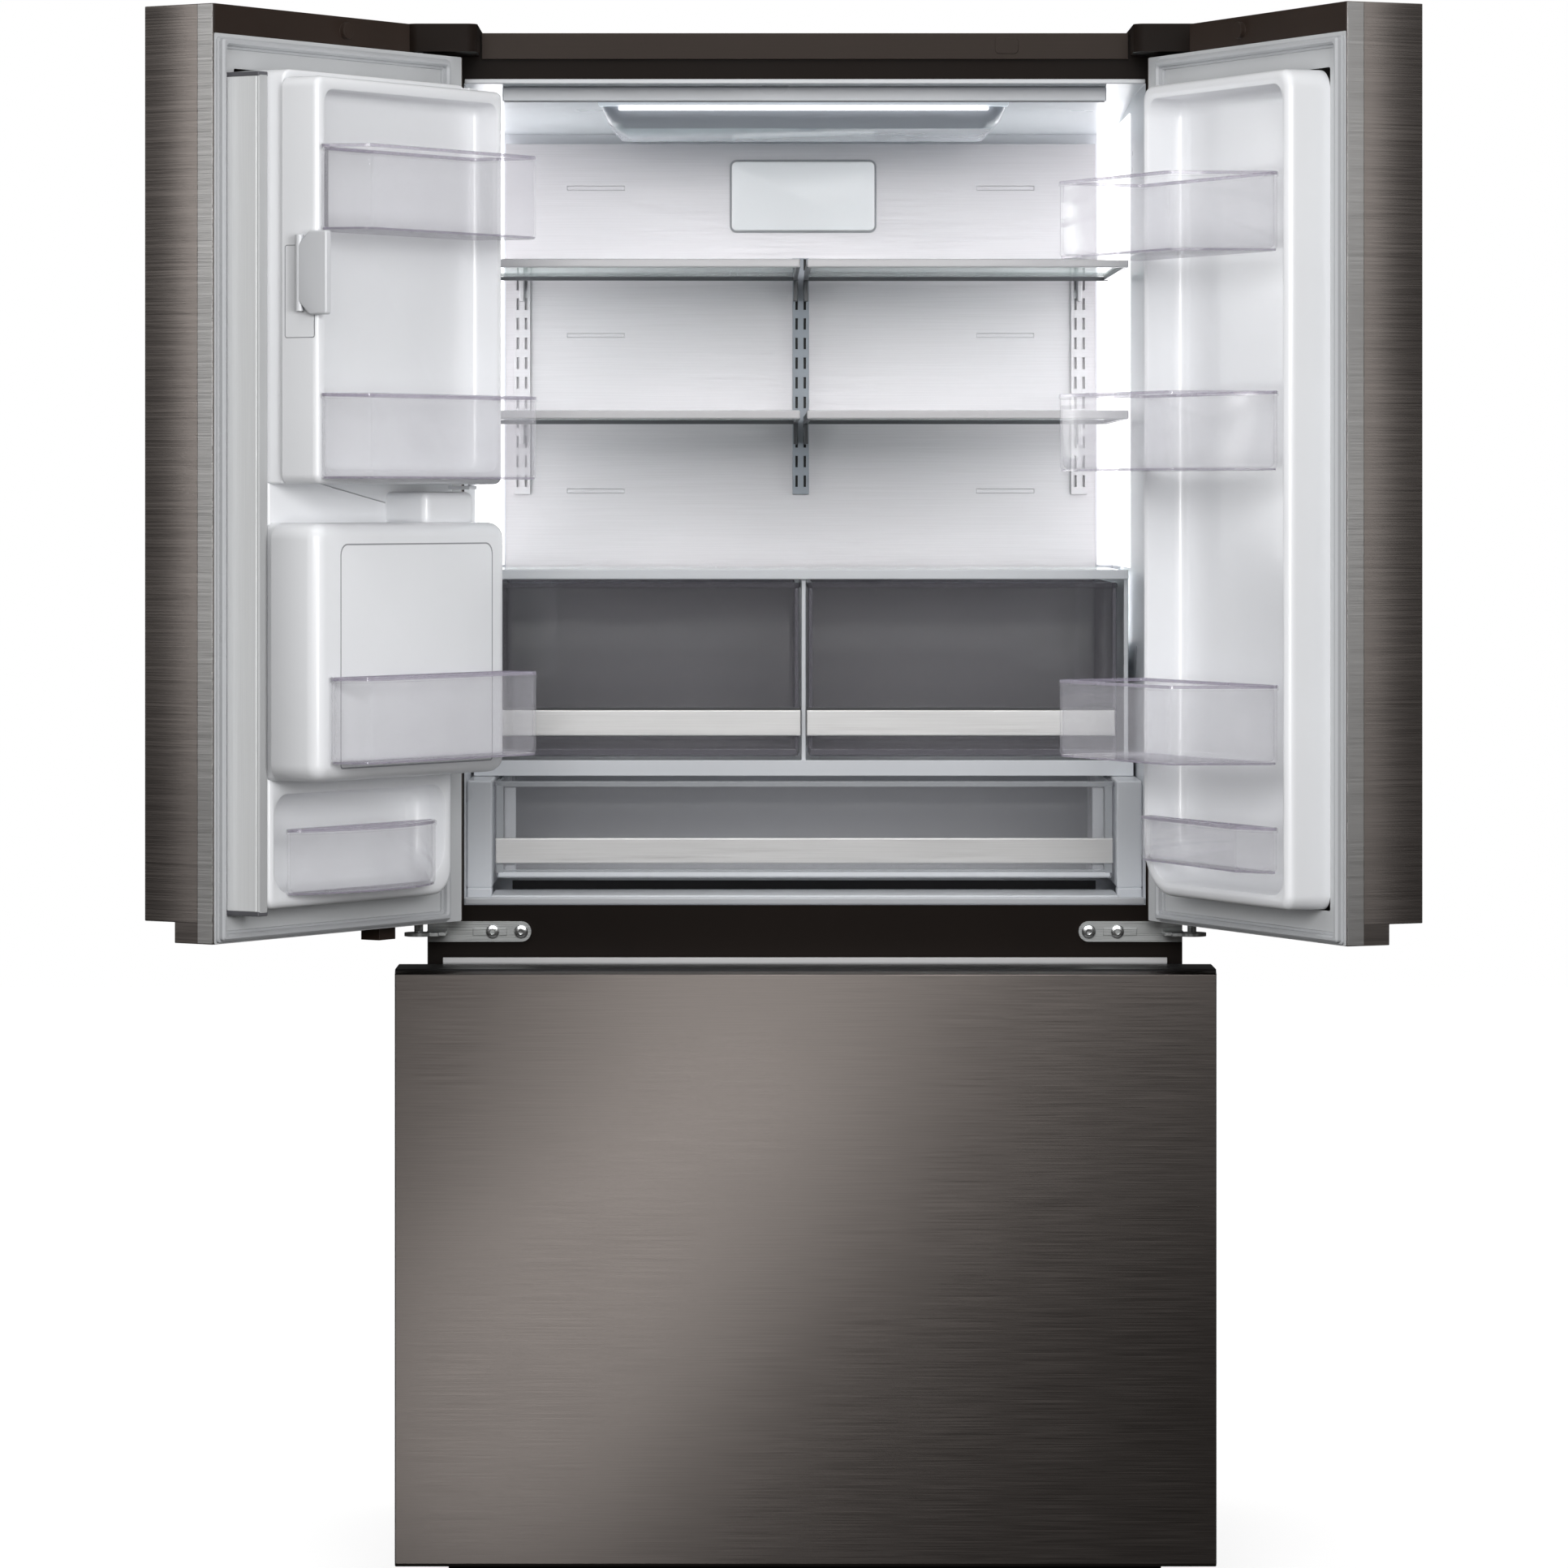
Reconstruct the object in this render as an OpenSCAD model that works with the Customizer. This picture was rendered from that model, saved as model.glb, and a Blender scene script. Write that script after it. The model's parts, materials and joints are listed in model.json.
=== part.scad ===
// French door refrigerator with a bottom freezer drawer.
// Millimetres. +Z up, the front of the case lies in the plane Y = 0 and the doors stand towards -Y.
// The origin is on the floor, at mid-width, under the front of the case.

/* [Overall] */
// Width across both doors
front_w = 908; // [880:1:930]
// Width of the case behind the doors
case_w = 846; // [830:1:860]
// Height of the top of the doors
door_top = 1762; // [1740:1:1790]
// Depth of the case without the doors
case_d = 745; // [700:1:800]
// Height of the underside of the case and of the drawer front
toe_h = 60; // [55:1:75]

/* [Doors] */
// Thickness of a door without its gasket
door_t = 91; // [85:1:95]
// Thickness of a closed gasket
gasket_t = 10; // [9:0.5:11]
// Gap between the two doors
door_gap = 6; // [4:1:8]
// Height of the underside of the doors
door_bottom = 771; // [765:1:780]
// Height of the underside of the front skin, above the grip notch
skin_bottom = 793; // [785:1:800]
// Height of the top of the inner flange, under the top cap
flange_top = 1731; // [1725:1:1735]
// Distance of the hinge pins from mid-width
pivot_x = 430; // [428:1:434]
// Distance of the hinge pins ahead of the case
pivot_y = 53; // [50:1:56]
// Opening of the left door
left_open = 123; // [90:1:128]
// Opening of the right door
right_open = 114; // [90:1:128]

/* [Cavities] */
// Half of the inner width of both cavities
cavity_x = 382; // [375:1:385]
// Inner depth of the fresh food cavity
cavity_d = 650; // [600:1:660]
// Floor of the fresh food cavity
fresh_floor = 785; // [780:1:790]
// Ceiling of the fresh food cavity
fresh_ceiling = 1706; // [1700:1:1710]
// Floor of the freezer cavity
frozen_floor = 104; // [95:1:110]
// Ceiling of the freezer cavity
frozen_ceiling = 706; // [700:1:708]

/* [Inside] */
// Distance of the shelf fronts behind the front of the case
shelf_y = 172; // [170:1:185]
// Top of the upper shelves
upper_shelf_z = 1515; // [1480:1:1530]
// Top of the lower shelves
lower_shelf_z = 1341; // [1320:1:1360]
// Top of the crisper cover
cover_z = 1158; // [1150:1:1165]
// How far a door bin stands out from the inner flange
bin_reach = 166; // [150:1:168]

/* [Freezer drawer] */
// Top of the drawer front
drawer_top = 720; // [710:1:722]
// Depth of the freezer basket
basket_d = 430; // [380:1:440]

/* [Hidden] */
sheet = 3;
door_w = (front_w - door_gap) / 2;
case_x = case_w / 2;
case_top = door_top - 4;
cover_top = case_top + 9;
front_y = -gasket_t - door_t;
engine_top = 303;
engine_y = 477;
pin_r = 5;
bore_r = pin_r + 0.05;
arm_t = 4;
bin_wall = 3;
// Top of the bottom cap of a door
cap_top = skin_bottom + 4;
// The hinge line seen from a door's own free edge and flange plane
pivot_a = pivot_x - door_gap / 2;
pivot_b = gasket_t - pivot_y;
// Raised inner part of a door
plinth_a0 = 38;
plinth_a1 = 371;
plinth_z0 = 807;
plinth_z1 = 1693;
plinth_b = 45;
// The mullion swings under what stands out past this depth
overhang_b = 56;
// Ice room and dispenser on the left door
ice_z0 = 1256;
ice_z1 = 1684;
ice_b0 = 64;
ice_b1 = 112;
block_z0 = 943;
block_z1 = 1215;
block_b = 118;
ice_hinge_a = plinth_a1 - 1;
ice_hinge_b = ice_b0 + 4;
lid_pin_r = 2.5;
latch_a = 29;
latch_b = 92;
paddle_z = 1170;
paddle_b = -42;
alcove_a0 = 120;
alcove_a1 = 330;
alcove_z0 = 960;
alcove_z1 = 1200;
alcove_b = 88;
alcove_mid = (alcove_a0 + alcove_a1) / 2;
paddle_pin_r = 2.5;
// Mullion, in the left door's own frame while it lies folded
mullion_w = 45;
mullion_t = 17;
mullion_a = 20;
mullion_z0 = 801;
mullion_z1 = 1690;
// Roller axle under the back of the case
axle_y = 650;
roller_r = 26;
inlet_x = 380;
inlet_z = 270;
inlet_r = 5.5;
fan_x = 220;
fan_y = 560;
fan_z = 180;

// ---------------------------------------------------------------- helpers

// A box given by its low and high corners
module block(low, high) {
    translate(low) cube(high - low);
}

// The same solid on both sides of the middle plane
module both_sides() {
    children();
    mirror([1, 0, 0]) children();
}

// An upright ring of rectangular section between an outer and an inner rectangle
module upright_ring(x0, x1, z0, z1, y0, y1, band) {
    difference() {
        block([x0, y0, z0], [x1, y1, z1]);
        block([x0 + band, y0 - 1, z0 + band], [x1 - band, y1 + 1, z1 - band]);
    }
}

// A rectangle with round corners, standing in the XZ plane with its middle at the origin
module round_plate(w, h, r, t) {
    rotate([90, 0, 0]) linear_extrude(t, center = true) {
        square([w - 2 * r, h], center = true);
        square([w, h - 2 * r], center = true);
        for (x = [-1, 1], y = [-1, 1])
            translate([x * (w / 2 - r), y * (h / 2 - r)]) circle(r, $fn = 48);
    }
}

// A flat plate with round corners, lying in the XY plane
module flat_plate(x0, x1, y0, y1, z0, z1, r) {
    translate([0, 0, z0]) linear_extrude(z1 - z0) {
        translate([x0 + r, y0]) square([x1 - x0 - 2 * r, y1 - y0]);
        translate([x0, y0 + r]) square([x1 - x0, y1 - y0 - 2 * r]);
        for (x = [x0 + r, x1 - r], y = [y0 + r, y1 - r]) translate([x, y]) circle(r, $fn = 48);
    }
}

// An open tray on a plan outline, with an inner outline that leaves its walls
module tray(outline, inner, z0, z1, floor_t) {
    translate([0, 0, z0]) difference() {
        linear_extrude(z1 - z0) polygon(outline);
        translate([0, 0, floor_t]) linear_extrude(z1 - z0) polygon(inner);
    }
}

// Door frames: first axis from the free edge to the hinge side, second from the flange inwards
module left_door_frame() {
    translate([-pivot_x, -pivot_y, 0]) rotate([0, 0, -left_open]) translate([pivot_x, pivot_y, 0])
        translate([-door_gap / 2, -gasket_t, 0]) mirror([1, 0, 0]) children();
}

module right_door_frame() {
    translate([pivot_x, -pivot_y, 0]) rotate([0, 0, right_open]) translate([-pivot_x, pivot_y, 0])
        translate([door_gap / 2, -gasket_t, 0]) children();
}

// ---------------------------------------------------------------- case

module outer_case() {
    color([0.16, 0.14, 0.13]) difference() {
        block([-case_x, sheet, toe_h], [case_x, case_d - sheet, case_top]);
        block([-case_x + sheet, 0, toe_h + sheet], [case_x - sheet, case_d, case_top - sheet]);
        block([-case_x + sheet, engine_y, 0], [case_x - sheet, case_d, toe_h + 10]);
    }
}

module back_panel() {
    color([0.62, 0.63, 0.64]) difference() {
        block([-case_x, case_d - sheet, engine_top], [case_x, case_d, case_top]);
        for (x = [-280, 280], z = [engine_top + 120, case_top - 120])
            translate([x, case_d, z]) rotate([90, 0, 0]) cylinder(h = 20, r = 12, center = true, $fn = 48);
    }
}

module machine_cover() {
    color([0.30, 0.31, 0.32]) difference() {
        block([-case_x, case_d - sheet, toe_h + 14], [case_x, case_d, engine_top - 1]);
        for (side = [-1, 1], i = [0 : 9], j = [0 : 3])
            translate([side * (110 + 26 * i), case_d, 110 + 44 * j])
                cube([16, 20, 26], center = true);
        translate([inlet_x, case_d, inlet_z]) rotate([90, 0, 0])
            cylinder(h = 20, r = 5.7, center = true, $fn = 48);
    }
}

// Plate under the machine room, with the lugs that carry the roller axle
module machine_base() {
    color([0.55, 0.56, 0.57]) {
        block([-case_x + sheet, engine_y, toe_h], [case_x - sheet, case_d - sheet, toe_h + sheet]);
        for (x = [-398, -352, 348, 394])
            difference() {
                block([x, axle_y - 16, 12], [x + 4, axle_y + 16, toe_h]);
                translate([x - 1, axle_y, roller_r]) rotate([0, 90, 0])
                    cylinder(h = 6, r = bore_r, $fn = 48);
            }
    }
}

module cabinet_foam() {
    inset = sheet + 0.2;
    color([0.93, 0.87, 0.62]) difference() {
        block([-case_x + inset, sheet + 0.5, toe_h + inset], [case_x - inset, case_d - inset, case_top - inset]);
        block([-cavity_x - inset, 0, fresh_floor - inset], [cavity_x + inset, cavity_d + inset, fresh_ceiling + inset]);
        block([-cavity_x - inset, 0, engine_top + 20 - inset], [cavity_x + inset, cavity_d + inset, frozen_ceiling + inset]);
        block([-cavity_x - inset, 0, frozen_floor - inset], [cavity_x + inset, 463 + inset, frozen_ceiling]);
        block([-case_x, engine_y, 0], [case_x, case_d, engine_top]);
    }
}

// Steel front of the case: a top flange, two side flanges, the centre rail and a foot flange
module front_frame() {
    color([0.13, 0.11, 0.10]) difference() {
        block([-case_x, 0, toe_h], [case_x, sheet, case_top]);
        block([-cavity_x, -1, fresh_floor], [cavity_x, sheet + 1, fresh_ceiling]);
        block([-cavity_x, -1, frozen_floor], [cavity_x, sheet + 1, frozen_ceiling]);
    }
}

module fridge_liner() {
    color([0.90, 0.91, 0.93]) {
        difference() {
            block([-cavity_x - sheet, sheet + 0.2, fresh_floor - sheet],
                [cavity_x + sheet, cavity_d + sheet, fresh_ceiling + sheet]);
            block([-cavity_x, 0, fresh_floor], [cavity_x, cavity_d, fresh_ceiling]);
        }
        // The ceiling slopes down towards the rear wall
        rotate([90, 0, 90]) linear_extrude(2 * cavity_x, center = true)
            polygon([[230, fresh_ceiling], [cavity_d, fresh_ceiling], [cavity_d, fresh_ceiling - 20]]);
    }
}

module freezer_liner() {
    color([0.88, 0.89, 0.91]) difference() {
        union() {
            block([-cavity_x - sheet, sheet + 0.2, engine_top + 20 - sheet],
                [cavity_x + sheet, cavity_d + sheet, frozen_ceiling + sheet - 0.4]);
            block([-cavity_x - sheet, sheet + 0.2, frozen_floor - sheet],
                [cavity_x + sheet, 463 + sheet, frozen_ceiling]);
        }
        block([-cavity_x, 0, engine_top + 20], [cavity_x, cavity_d, frozen_ceiling]);
        block([-cavity_x, 0, frozen_floor], [cavity_x, 463, frozen_ceiling]);
    }
}

// Dark band across the top of the case, between the hinge covers
module top_trim() {
    color([0.20, 0.17, 0.15]) {
        rotate([90, 0, 90]) linear_extrude(724, center = true)
            polygon([[-3.6, 1733], [-0.2, 1733], [-0.2, case_top + 0.2], [40, case_top + 0.2],
                [40, door_top], [-3.6, door_top]]);
        translate([226, -3.6, 1748]) round_plate(26, 18, 5, 1.2);
    }
}

// Hollow covers over the upper hinges, open below around the pin
module hinge_covers() {
    color([0.12, 0.10, 0.09]) both_sides() difference() {
        union() {
            flat_plate(-442, -364, -80, -0.3, 1736, cover_top, 12);
            flat_plate(-436, -364, -60, 84, case_top + 0.2, cover_top, 12);
        }
        block([-439.5, -70, 1738.5], [-367, -3, cover_top - 2]);
        block([-433, -10, case_top], [-367, 81, cover_top - 2]);
        translate([-pivot_x, -pivot_y, 1730]) cylinder(h = 20, r = 9, $fn = 48);
    }
}

// A hinge leaf on top of the case, its arm over the door and its pin down into the door
module upper_hinges() {
    color([0.72, 0.73, 0.72]) both_sides() {
        difference() {
            union() {
                flat_plate(-424, -372, 8, 76, case_top + 0.1, case_top + arm_t, 8);
                block([-424, -pivot_y, case_top + 0.1], [-396, 20, case_top + arm_t]);
                translate([-pivot_x, -pivot_y, case_top + 0.1])
                    cylinder(h = arm_t - 0.1, r = 8.5, $fn = 48);
            }
            for (x = [-412, -386])
                translate([x, 50, case_top - 1]) cylinder(h = 10, r = 3.3, $fn = 48);
        }
        translate([-pivot_x, -pivot_y, 1706]) cylinder(h = case_top + arm_t - 1706, r = pin_r, $fn = 48);
    }
}

// A bracket on the centre rail, its arm under the door and its pin up into the door
module lower_hinges() {
    color([0.74, 0.75, 0.74]) both_sides() {
        difference() {
            union() {
                block([-422, -4, 744], [-318, -0.1, 767]);
                translate([-318, -0.1, 755.5]) rotate([90, 0, 0]) cylinder(h = 3.9, r = 11.5, $fn = 64);
                block([-422, -pivot_y, 754], [-400, -2, 754 + arm_t]);
                translate([-pivot_x, -pivot_y, 754]) cylinder(h = arm_t, r = 16, $fn = 64);
                block([-pivot_x, -pivot_y - 10, 754], [-408, -pivot_y + 12, 754 + arm_t]);
            }
            for (x = [-350, -318])
                translate([x, 1, 755.5]) rotate([90, 0, 0]) cylinder(h = 8, r = 3.3, $fn = 48);
        }
        translate([-pivot_x, -pivot_y, 754]) cylinder(h = 32, r = pin_r, $fn = 48);
    }
}

// Eight identical hinge screws, a button head with a hex recess on a short shank
module hinge_screw() {
    difference() {
        union() {
            cylinder(h = 2.5, r = 7, $fn = 48);
            translate([0, 0, -3.8]) cylinder(h = 4, r = 3.1, $fn = 48);
        }
        translate([0, 0, 1]) cylinder(h = 3, r = 2.6, $fn = 6);
    }
}

module hinge_screws() {
    color([0.80, 0.81, 0.80]) both_sides() {
        for (x = [-350, -318]) translate([x, -4.1, 755.5]) rotate([90, 0, 0]) hinge_screw();
        for (x = [-412, -386]) translate([x, 50, case_top + arm_t + 0.05]) hinge_screw();
    }
}

// ---------------------------------------------------------------- fresh food compartment

// Duct panels on the rear walls: brushed metal above, the evaporator's cover below
module rear_wall_panel() {
    color([0.74, 0.74, 0.75]) difference() {
        block([-360, 636, fresh_floor + 130], [360, 641, fresh_ceiling - 32]);
        for (x = [-250, 250], z = [1620, 1440, 1250])
            translate([x, 638, z]) cube([70, 20, 5], center = true);
    }
    color([0.74, 0.74, 0.75]) difference() {
        block([-378, 585, engine_top + 24], [378, 589, frozen_ceiling - 4]);
        for (x = [-220 : 110 : 220]) translate([x, 587, 660]) cube([70, 20, 8], center = true);
    }
}

module air_filter_cover() {
    color([0.86, 0.87, 0.88]) translate([3, 633, 1610]) round_plate(174, 84, 6, 5.6);
}

// Sloping lamp housing under the ceiling
module ceiling_light() {
    color([0.88, 0.90, 0.93]) rotate([90, 0, 90]) linear_extrude(466, center = true)
        polygon([[196, fresh_ceiling - 1], [196, 1684], [480, 1664], [500, 1672], [500, fresh_ceiling - 15]]);
}

module light_lenses() {
    color([0.98, 0.98, 1.0]) {
        block([-213, 186, 1688], [213, 195.8, 1700]);
        both_sides() block([362, 625, 960], [379, 641, 1650]);
    }
}

// Three slotted uprights on the rear wall
module shelf_ladders() {
    color([0.55, 0.56, 0.57]) for (x = [-340, 0, 340]) difference() {
        block([x - 10, 628, 1246], [x + 10, 635.8, 1534]);
        for (s = [-5, 5], z = [1262 : 24 : 1526])
            translate([x + s, 630, z]) cube([3, 20, 14], center = true);
    }
}

// Frame of one half shelf: front trim, side rails, rear bar and two cantilever hooks
module shelf_frame(x0, x1, z, hooks) {
    trim_h = 9;
    block([x0, shelf_y, z - trim_h], [x1, shelf_y + 8, z + 1]);
    block([x0, 600, z - trim_h], [x1, 612, z - 4.6]);
    for (x = [x0, x1 - 5]) block([x, shelf_y + 8, z - trim_h], [x + 5, 600, z + 1]);
    for (x = hooks) block([x - 2.5, 612, z - 34], [x + 2.5, 627.6, z - 4.6]);
}

module shelf_frames() {
    color([0.60, 0.61, 0.62]) for (z = [upper_shelf_z, lower_shelf_z]) {
        shelf_frame(-373, -4, z, [-340, -6.5]);
        shelf_frame(4, 373, z, [6.5, 340]);
    }
}

module shelf_panes() {
    color([0.75, 0.85, 0.85, 0.4]) for (z = [upper_shelf_z, lower_shelf_z], x = [-367.6, 9.4])
        block([x, shelf_y + 8.4, z - 4.4], [x + 358.2, 612, z]);
}

module crisper_cover() {
    color([0.75, 0.85, 0.85, 0.4]) block([-367, shelf_y + 8.4, cover_z - 5], [367, 622, cover_z]);
}

// Frame that carries the crisper cover, with the centre post and the lower crossbar
module crisper_frame() {
    color([0.78, 0.79, 0.80]) {
        block([-373, shelf_y, cover_z - 10], [373, shelf_y + 8, cover_z + 1]);
        for (x = [-373, -2.5, 368])
            block([x, shelf_y + 8, 930], [x + 5, 624, cover_z - 5.4]);
        block([-373, 612, cover_z - 10], [373, 624, cover_z - 5.4]);
        block([-379, shelf_y + 4, 922], [379, 620, 940]);
    }
}

// Rail covers beside the pantry drawer
module pantry_side_covers() {
    color([0.89, 0.90, 0.91]) both_sides() {
        block([358, 62, 800], [cavity_x - 0.2, 560, 921.6]);
        block([358, 62, fresh_floor + 0.2], [cavity_x - 0.2, 90, 800]);
    }
}

// One crisper bin, its left edge at x0
module crisper_bin(x0, x1) {
    y0 = shelf_y + 6;
    y1 = 590;
    difference() {
        block([x0, y0, 944], [x1, y1, 1144]);
        block([x0 + bin_wall, y0 + bin_wall, 944 + bin_wall], [x1 - bin_wall, y1 - bin_wall, 1145]);
    }
}

module crisper_left() {
    color([0.62, 0.60, 0.66, 0.45]) crisper_bin(-360, -5);
}

module crisper_right() {
    color([0.62, 0.60, 0.66, 0.45]) crisper_bin(5, 360);
}

// Brushed pull on the front of a crisper
module crisper_pull(x0, x1) {
    block([x0, shelf_y, 968], [x1, shelf_y + 5.9, 998]);
}

module crisper_left_trim() {
    color([0.80, 0.79, 0.78]) crisper_pull(-358, -7);
}

module crisper_right_trim() {
    color([0.80, 0.79, 0.78]) crisper_pull(7, 358);
}

module pantry_drawer() {
    color([0.85, 0.87, 0.89, 0.6]) difference() {
        block([-354, 102, 809], [354, 560, 919]);
        block([-349, 107, 814], [349, 555, 920]);
    }
}

module pantry_trim() {
    color([0.80, 0.79, 0.78]) block([-351, 96, 826], [351, 101.9, 855]);
}

// ---------------------------------------------------------------- base and machine room

module toe_grille() {
    color([0.13, 0.12, 0.12]) difference() {
        block([-400, 14, 12], [400, 22, toe_h - 0.4]);
        for (i = [-11 : 11])
            translate([i * 32, 18, 34]) cube([20, 20, 7], center = true);
    }
}

module leveling_feet() {
    color([0.35, 0.35, 0.36]) both_sides() translate([360, 70, 0]) {
        cylinder(h = 12, r = 19, $fn = 64);
        translate([0, 0, 12]) cylinder(h = toe_h - 12.4, r = 8, $fn = 48);
    }
}

// Two rollers on one axle
module rear_rollers() {
    color([0.25, 0.25, 0.26]) {
        translate([-400, axle_y, roller_r]) rotate([0, 90, 0]) cylinder(h = 800, r = pin_r, $fn = 48);
        for (x = [-393, 353])
            translate([x, axle_y, roller_r]) rotate([0, 90, 0]) cylinder(h = 40, r = roller_r, $fn = 96);
    }
}

// Finned coil behind the freezer compartment
module evaporator() {
    color([0.78, 0.80, 0.82]) {
        for (i = [0 : 24]) block([-240 + i * 20, 600, 360], [-238 + i * 20, cavity_d - 0.2, 620]);
        for (z = [400 : 60 : 580], y = [612, 636])
            translate([-245, y, z]) rotate([0, 90, 0]) cylinder(h = 490, r = 4, $fn = 32);
    }
}

module compressor() {
    color([0.10, 0.10, 0.11]) translate([-210, 610, toe_h + sheet]) {
        translate([0, 0, 12]) cylinder(h = 130, r = 85, $fn = 96);
        translate([0, 0, 142]) intersection() {
            translate([0, 0, -60]) sphere(r = 104, $fn = 96);
            cylinder(h = 60, r = 85, $fn = 96);
        }
        translate([0, 0, 10]) cube([210, 130, 8], center = true);
        for (x = [-90, 90], y = [-50, 50]) translate([x, y, 0.2]) cylinder(h = 22, r = 12, $fn = 48);
    }
}

module condenser() {
    color([0.42, 0.30, 0.22]) {
        for (i = [0 : 17]) block([100 + i * 14, 600, 90], [102 + i * 14, 700, 270]);
        for (z = [120 : 40 : 240], y = [625, 675])
            translate([95, y, z]) rotate([0, 90, 0]) cylinder(h = 250, r = 4, $fn = 32);
        block([100, 600, toe_h + sheet + 0.2], [340, 700, 90]);
        // Motor of the fan and its shaft
        translate([fan_x, 604, fan_z]) rotate([90, 0, 0]) {
            cylinder(h = 26, r = 15, $fn = 64);
            cylinder(h = 58, r = 3, $fn = 48);
        }
    }
}

// Fan wheel of the condenser, turning about the depth axis
module condenser_fan() {
    color([0.20, 0.20, 0.21]) translate([fan_x, fan_y, fan_z]) rotate([90, 0, 0]) difference() {
        union() {
            cylinder(h = 24, r = 16, center = true, $fn = 64);
            for (i = [0 : 4])
                rotate([0, 0, 72 * i]) translate([14, -9, -2]) rotate([30, 0, 0]) cube([46, 18, 3]);
        }
        cylinder(h = 26, r = 3.05, center = true, $fn = 48);
    }
}

// Water connection: a nut on each side of the machine cover, and the free spigot behind it
module water_inlet() {
    color([0.75, 0.62, 0.30]) translate([inlet_x, 0, inlet_z]) rotate([-90, 0, 0]) {
        translate([0, 0, case_d - 24]) cylinder(h = 20.8, r = 12, $fn = 6);
        translate([0, 0, case_d - 4]) cylinder(h = 6, r = 5, $fn = 48);
        translate([0, 0, case_d + 0.2]) cylinder(h = 3.8, r = 12, $fn = 6);
        translate([0, 0, case_d + 3]) cylinder(h = 17, r = inlet_r, $fn = 48);
    }
}

// ---------------------------------------------------------------- freezer drawer

module fixed_rails() {
    color([0.70, 0.71, 0.72]) both_sides() difference() {
        block([371, 12, 380], [381.8, 460, 426]);
        block([370, 10, 386], [378, 470, 420]);
    }
}

module moving_rails() {
    color([0.70, 0.71, 0.72]) both_sides() {
        block([367, -7, 388], [376, 446, 418]);
        block([352, -gasket_t + 0.1, 360], [367, -5, 446]);
    }
}

// Side profile of the drawer front, a bevelled slab drawn in by t on every side
function front_profile(t) = [
    [front_y + t, toe_h + 3 + t * 0.6], [front_y + 3 + t * 0.6, toe_h + t], [-gasket_t - 4, toe_h + t],
    [-gasket_t - 4, drawer_top - t], [front_y + 9 + t * 0.5, drawer_top - t], [front_y + t, drawer_top - 5 - t * 0.5]
];

// Folded steel front of the drawer, open towards the case
module freezer_front() {
    wall = 2.5;
    color([0.35, 0.33, 0.31]) rotate([90, 0, 90]) difference() {
        linear_extrude(front_w, center = true) polygon(front_profile(0));
        linear_extrude(front_w - 2 * wall, center = true) polygon(front_profile(wall));
        translate([-gasket_t - 6, toe_h + wall, wall - front_w / 2])
            cube([4, drawer_top - toe_h - 2 * wall, front_w - 2 * wall]);
    }
}

// Foamed core of the drawer front with its white inner face
module freezer_inner_panel() {
    wall = 2.8;
    color([0.86, 0.87, 0.88]) {
        rotate([90, 0, 90]) linear_extrude(front_w - 2 * wall, center = true) polygon(front_profile(wall));
        block([-405, -gasket_t - 4.1, 82], [405, -gasket_t - 3, drawer_top - 5]);
        block([-405, -gasket_t - 3.7, 82], [405, -gasket_t, 727]);
        block([-350, -gasket_t - 0.1, 120], [350, -2, 690]);
    }
}

module freezer_gasket() {
    color([0.70, 0.71, 0.72]) upright_ring(-402, 402, 86, 726, -gasket_t + 0.2, -0.6, 14);
}

module freezer_basket() {
    y0 = 8;
    color([0.86, 0.88, 0.90]) difference() {
        block([-350, y0, 130], [350, y0 + basket_d, 470]);
        block([-346, y0 + 4, 135], [346, y0 + basket_d - 4, 471]);
    }
    color([0.86, 0.88, 0.90]) both_sides() block([350, y0 + 20, 396], [366.6, y0 + basket_d - 20, 410]);
}

// ---------------------------------------------------------------- doors, drawn in a door's own frame

// Folded steel skin: front and both edges, with the grip notch below
module door_skin() {
    wall = 2.5;
    difference() {
        union() {
            block([0, -door_t, skin_bottom], [door_w, 0, door_top]);
            block([0, -51, door_bottom], [door_w, 0, door_top]);
        }
        block([wall, -door_t + wall, door_bottom - 1], [door_w - wall, 1, door_top + 1]);
        // The upper hinge reaches in over the last stretch of the hinge side
        block([door_w - 4, -door_t + 6, flange_top], [door_w + 1, 1, door_top + 1]);
    }
}

// Top cap, hollow below and with a bumper behind, and the bottom cap with the hinge bush
module door_caps() {
    notch = 351;
    difference() {
        union() {
            block([2.7, -door_t + 2.7, flange_top + 0.2], [notch, 0, door_top]);
            translate([232, -1, 1747]) rotate([-90, 0, 0]) cylinder(h = 6.5, r = 9, $fn = 48);
        }
        block([40, -door_t + 12, flange_top - 1], [notch - 10, -8, door_top - 3]);
    }
    difference() {
        union() {
            block([2.7, -50.7, door_bottom], [door_w - 2.7, 0, cap_top]);
            block([2.7, -door_t + 2.7, skin_bottom], [door_w - 2.7, -50, cap_top]);
        }
        translate([pivot_a, pivot_b, 750]) cylinder(h = 60, r = bore_r, $fn = 48);
    }
}

module door_gasket() {
    translate([0, 0.2, 0]) difference() {
        block([5, 0, 772.5], [420, 9.2, 1727]);
        block([17, -1, 784.5], [408, 11, 1715]);
    }
}

// Foamed panel shared by both doors, with the bore for the upper hinge pin
module door_panel() {
    difference() {
        block([2.7, -door_t + 2.7, cap_top + 0.2], [door_w - 2.7, 0, flange_top]);
        translate([pivot_a, pivot_b, 1700]) cylinder(h = 60, r = bore_r, $fn = 48);
    }
}

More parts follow.
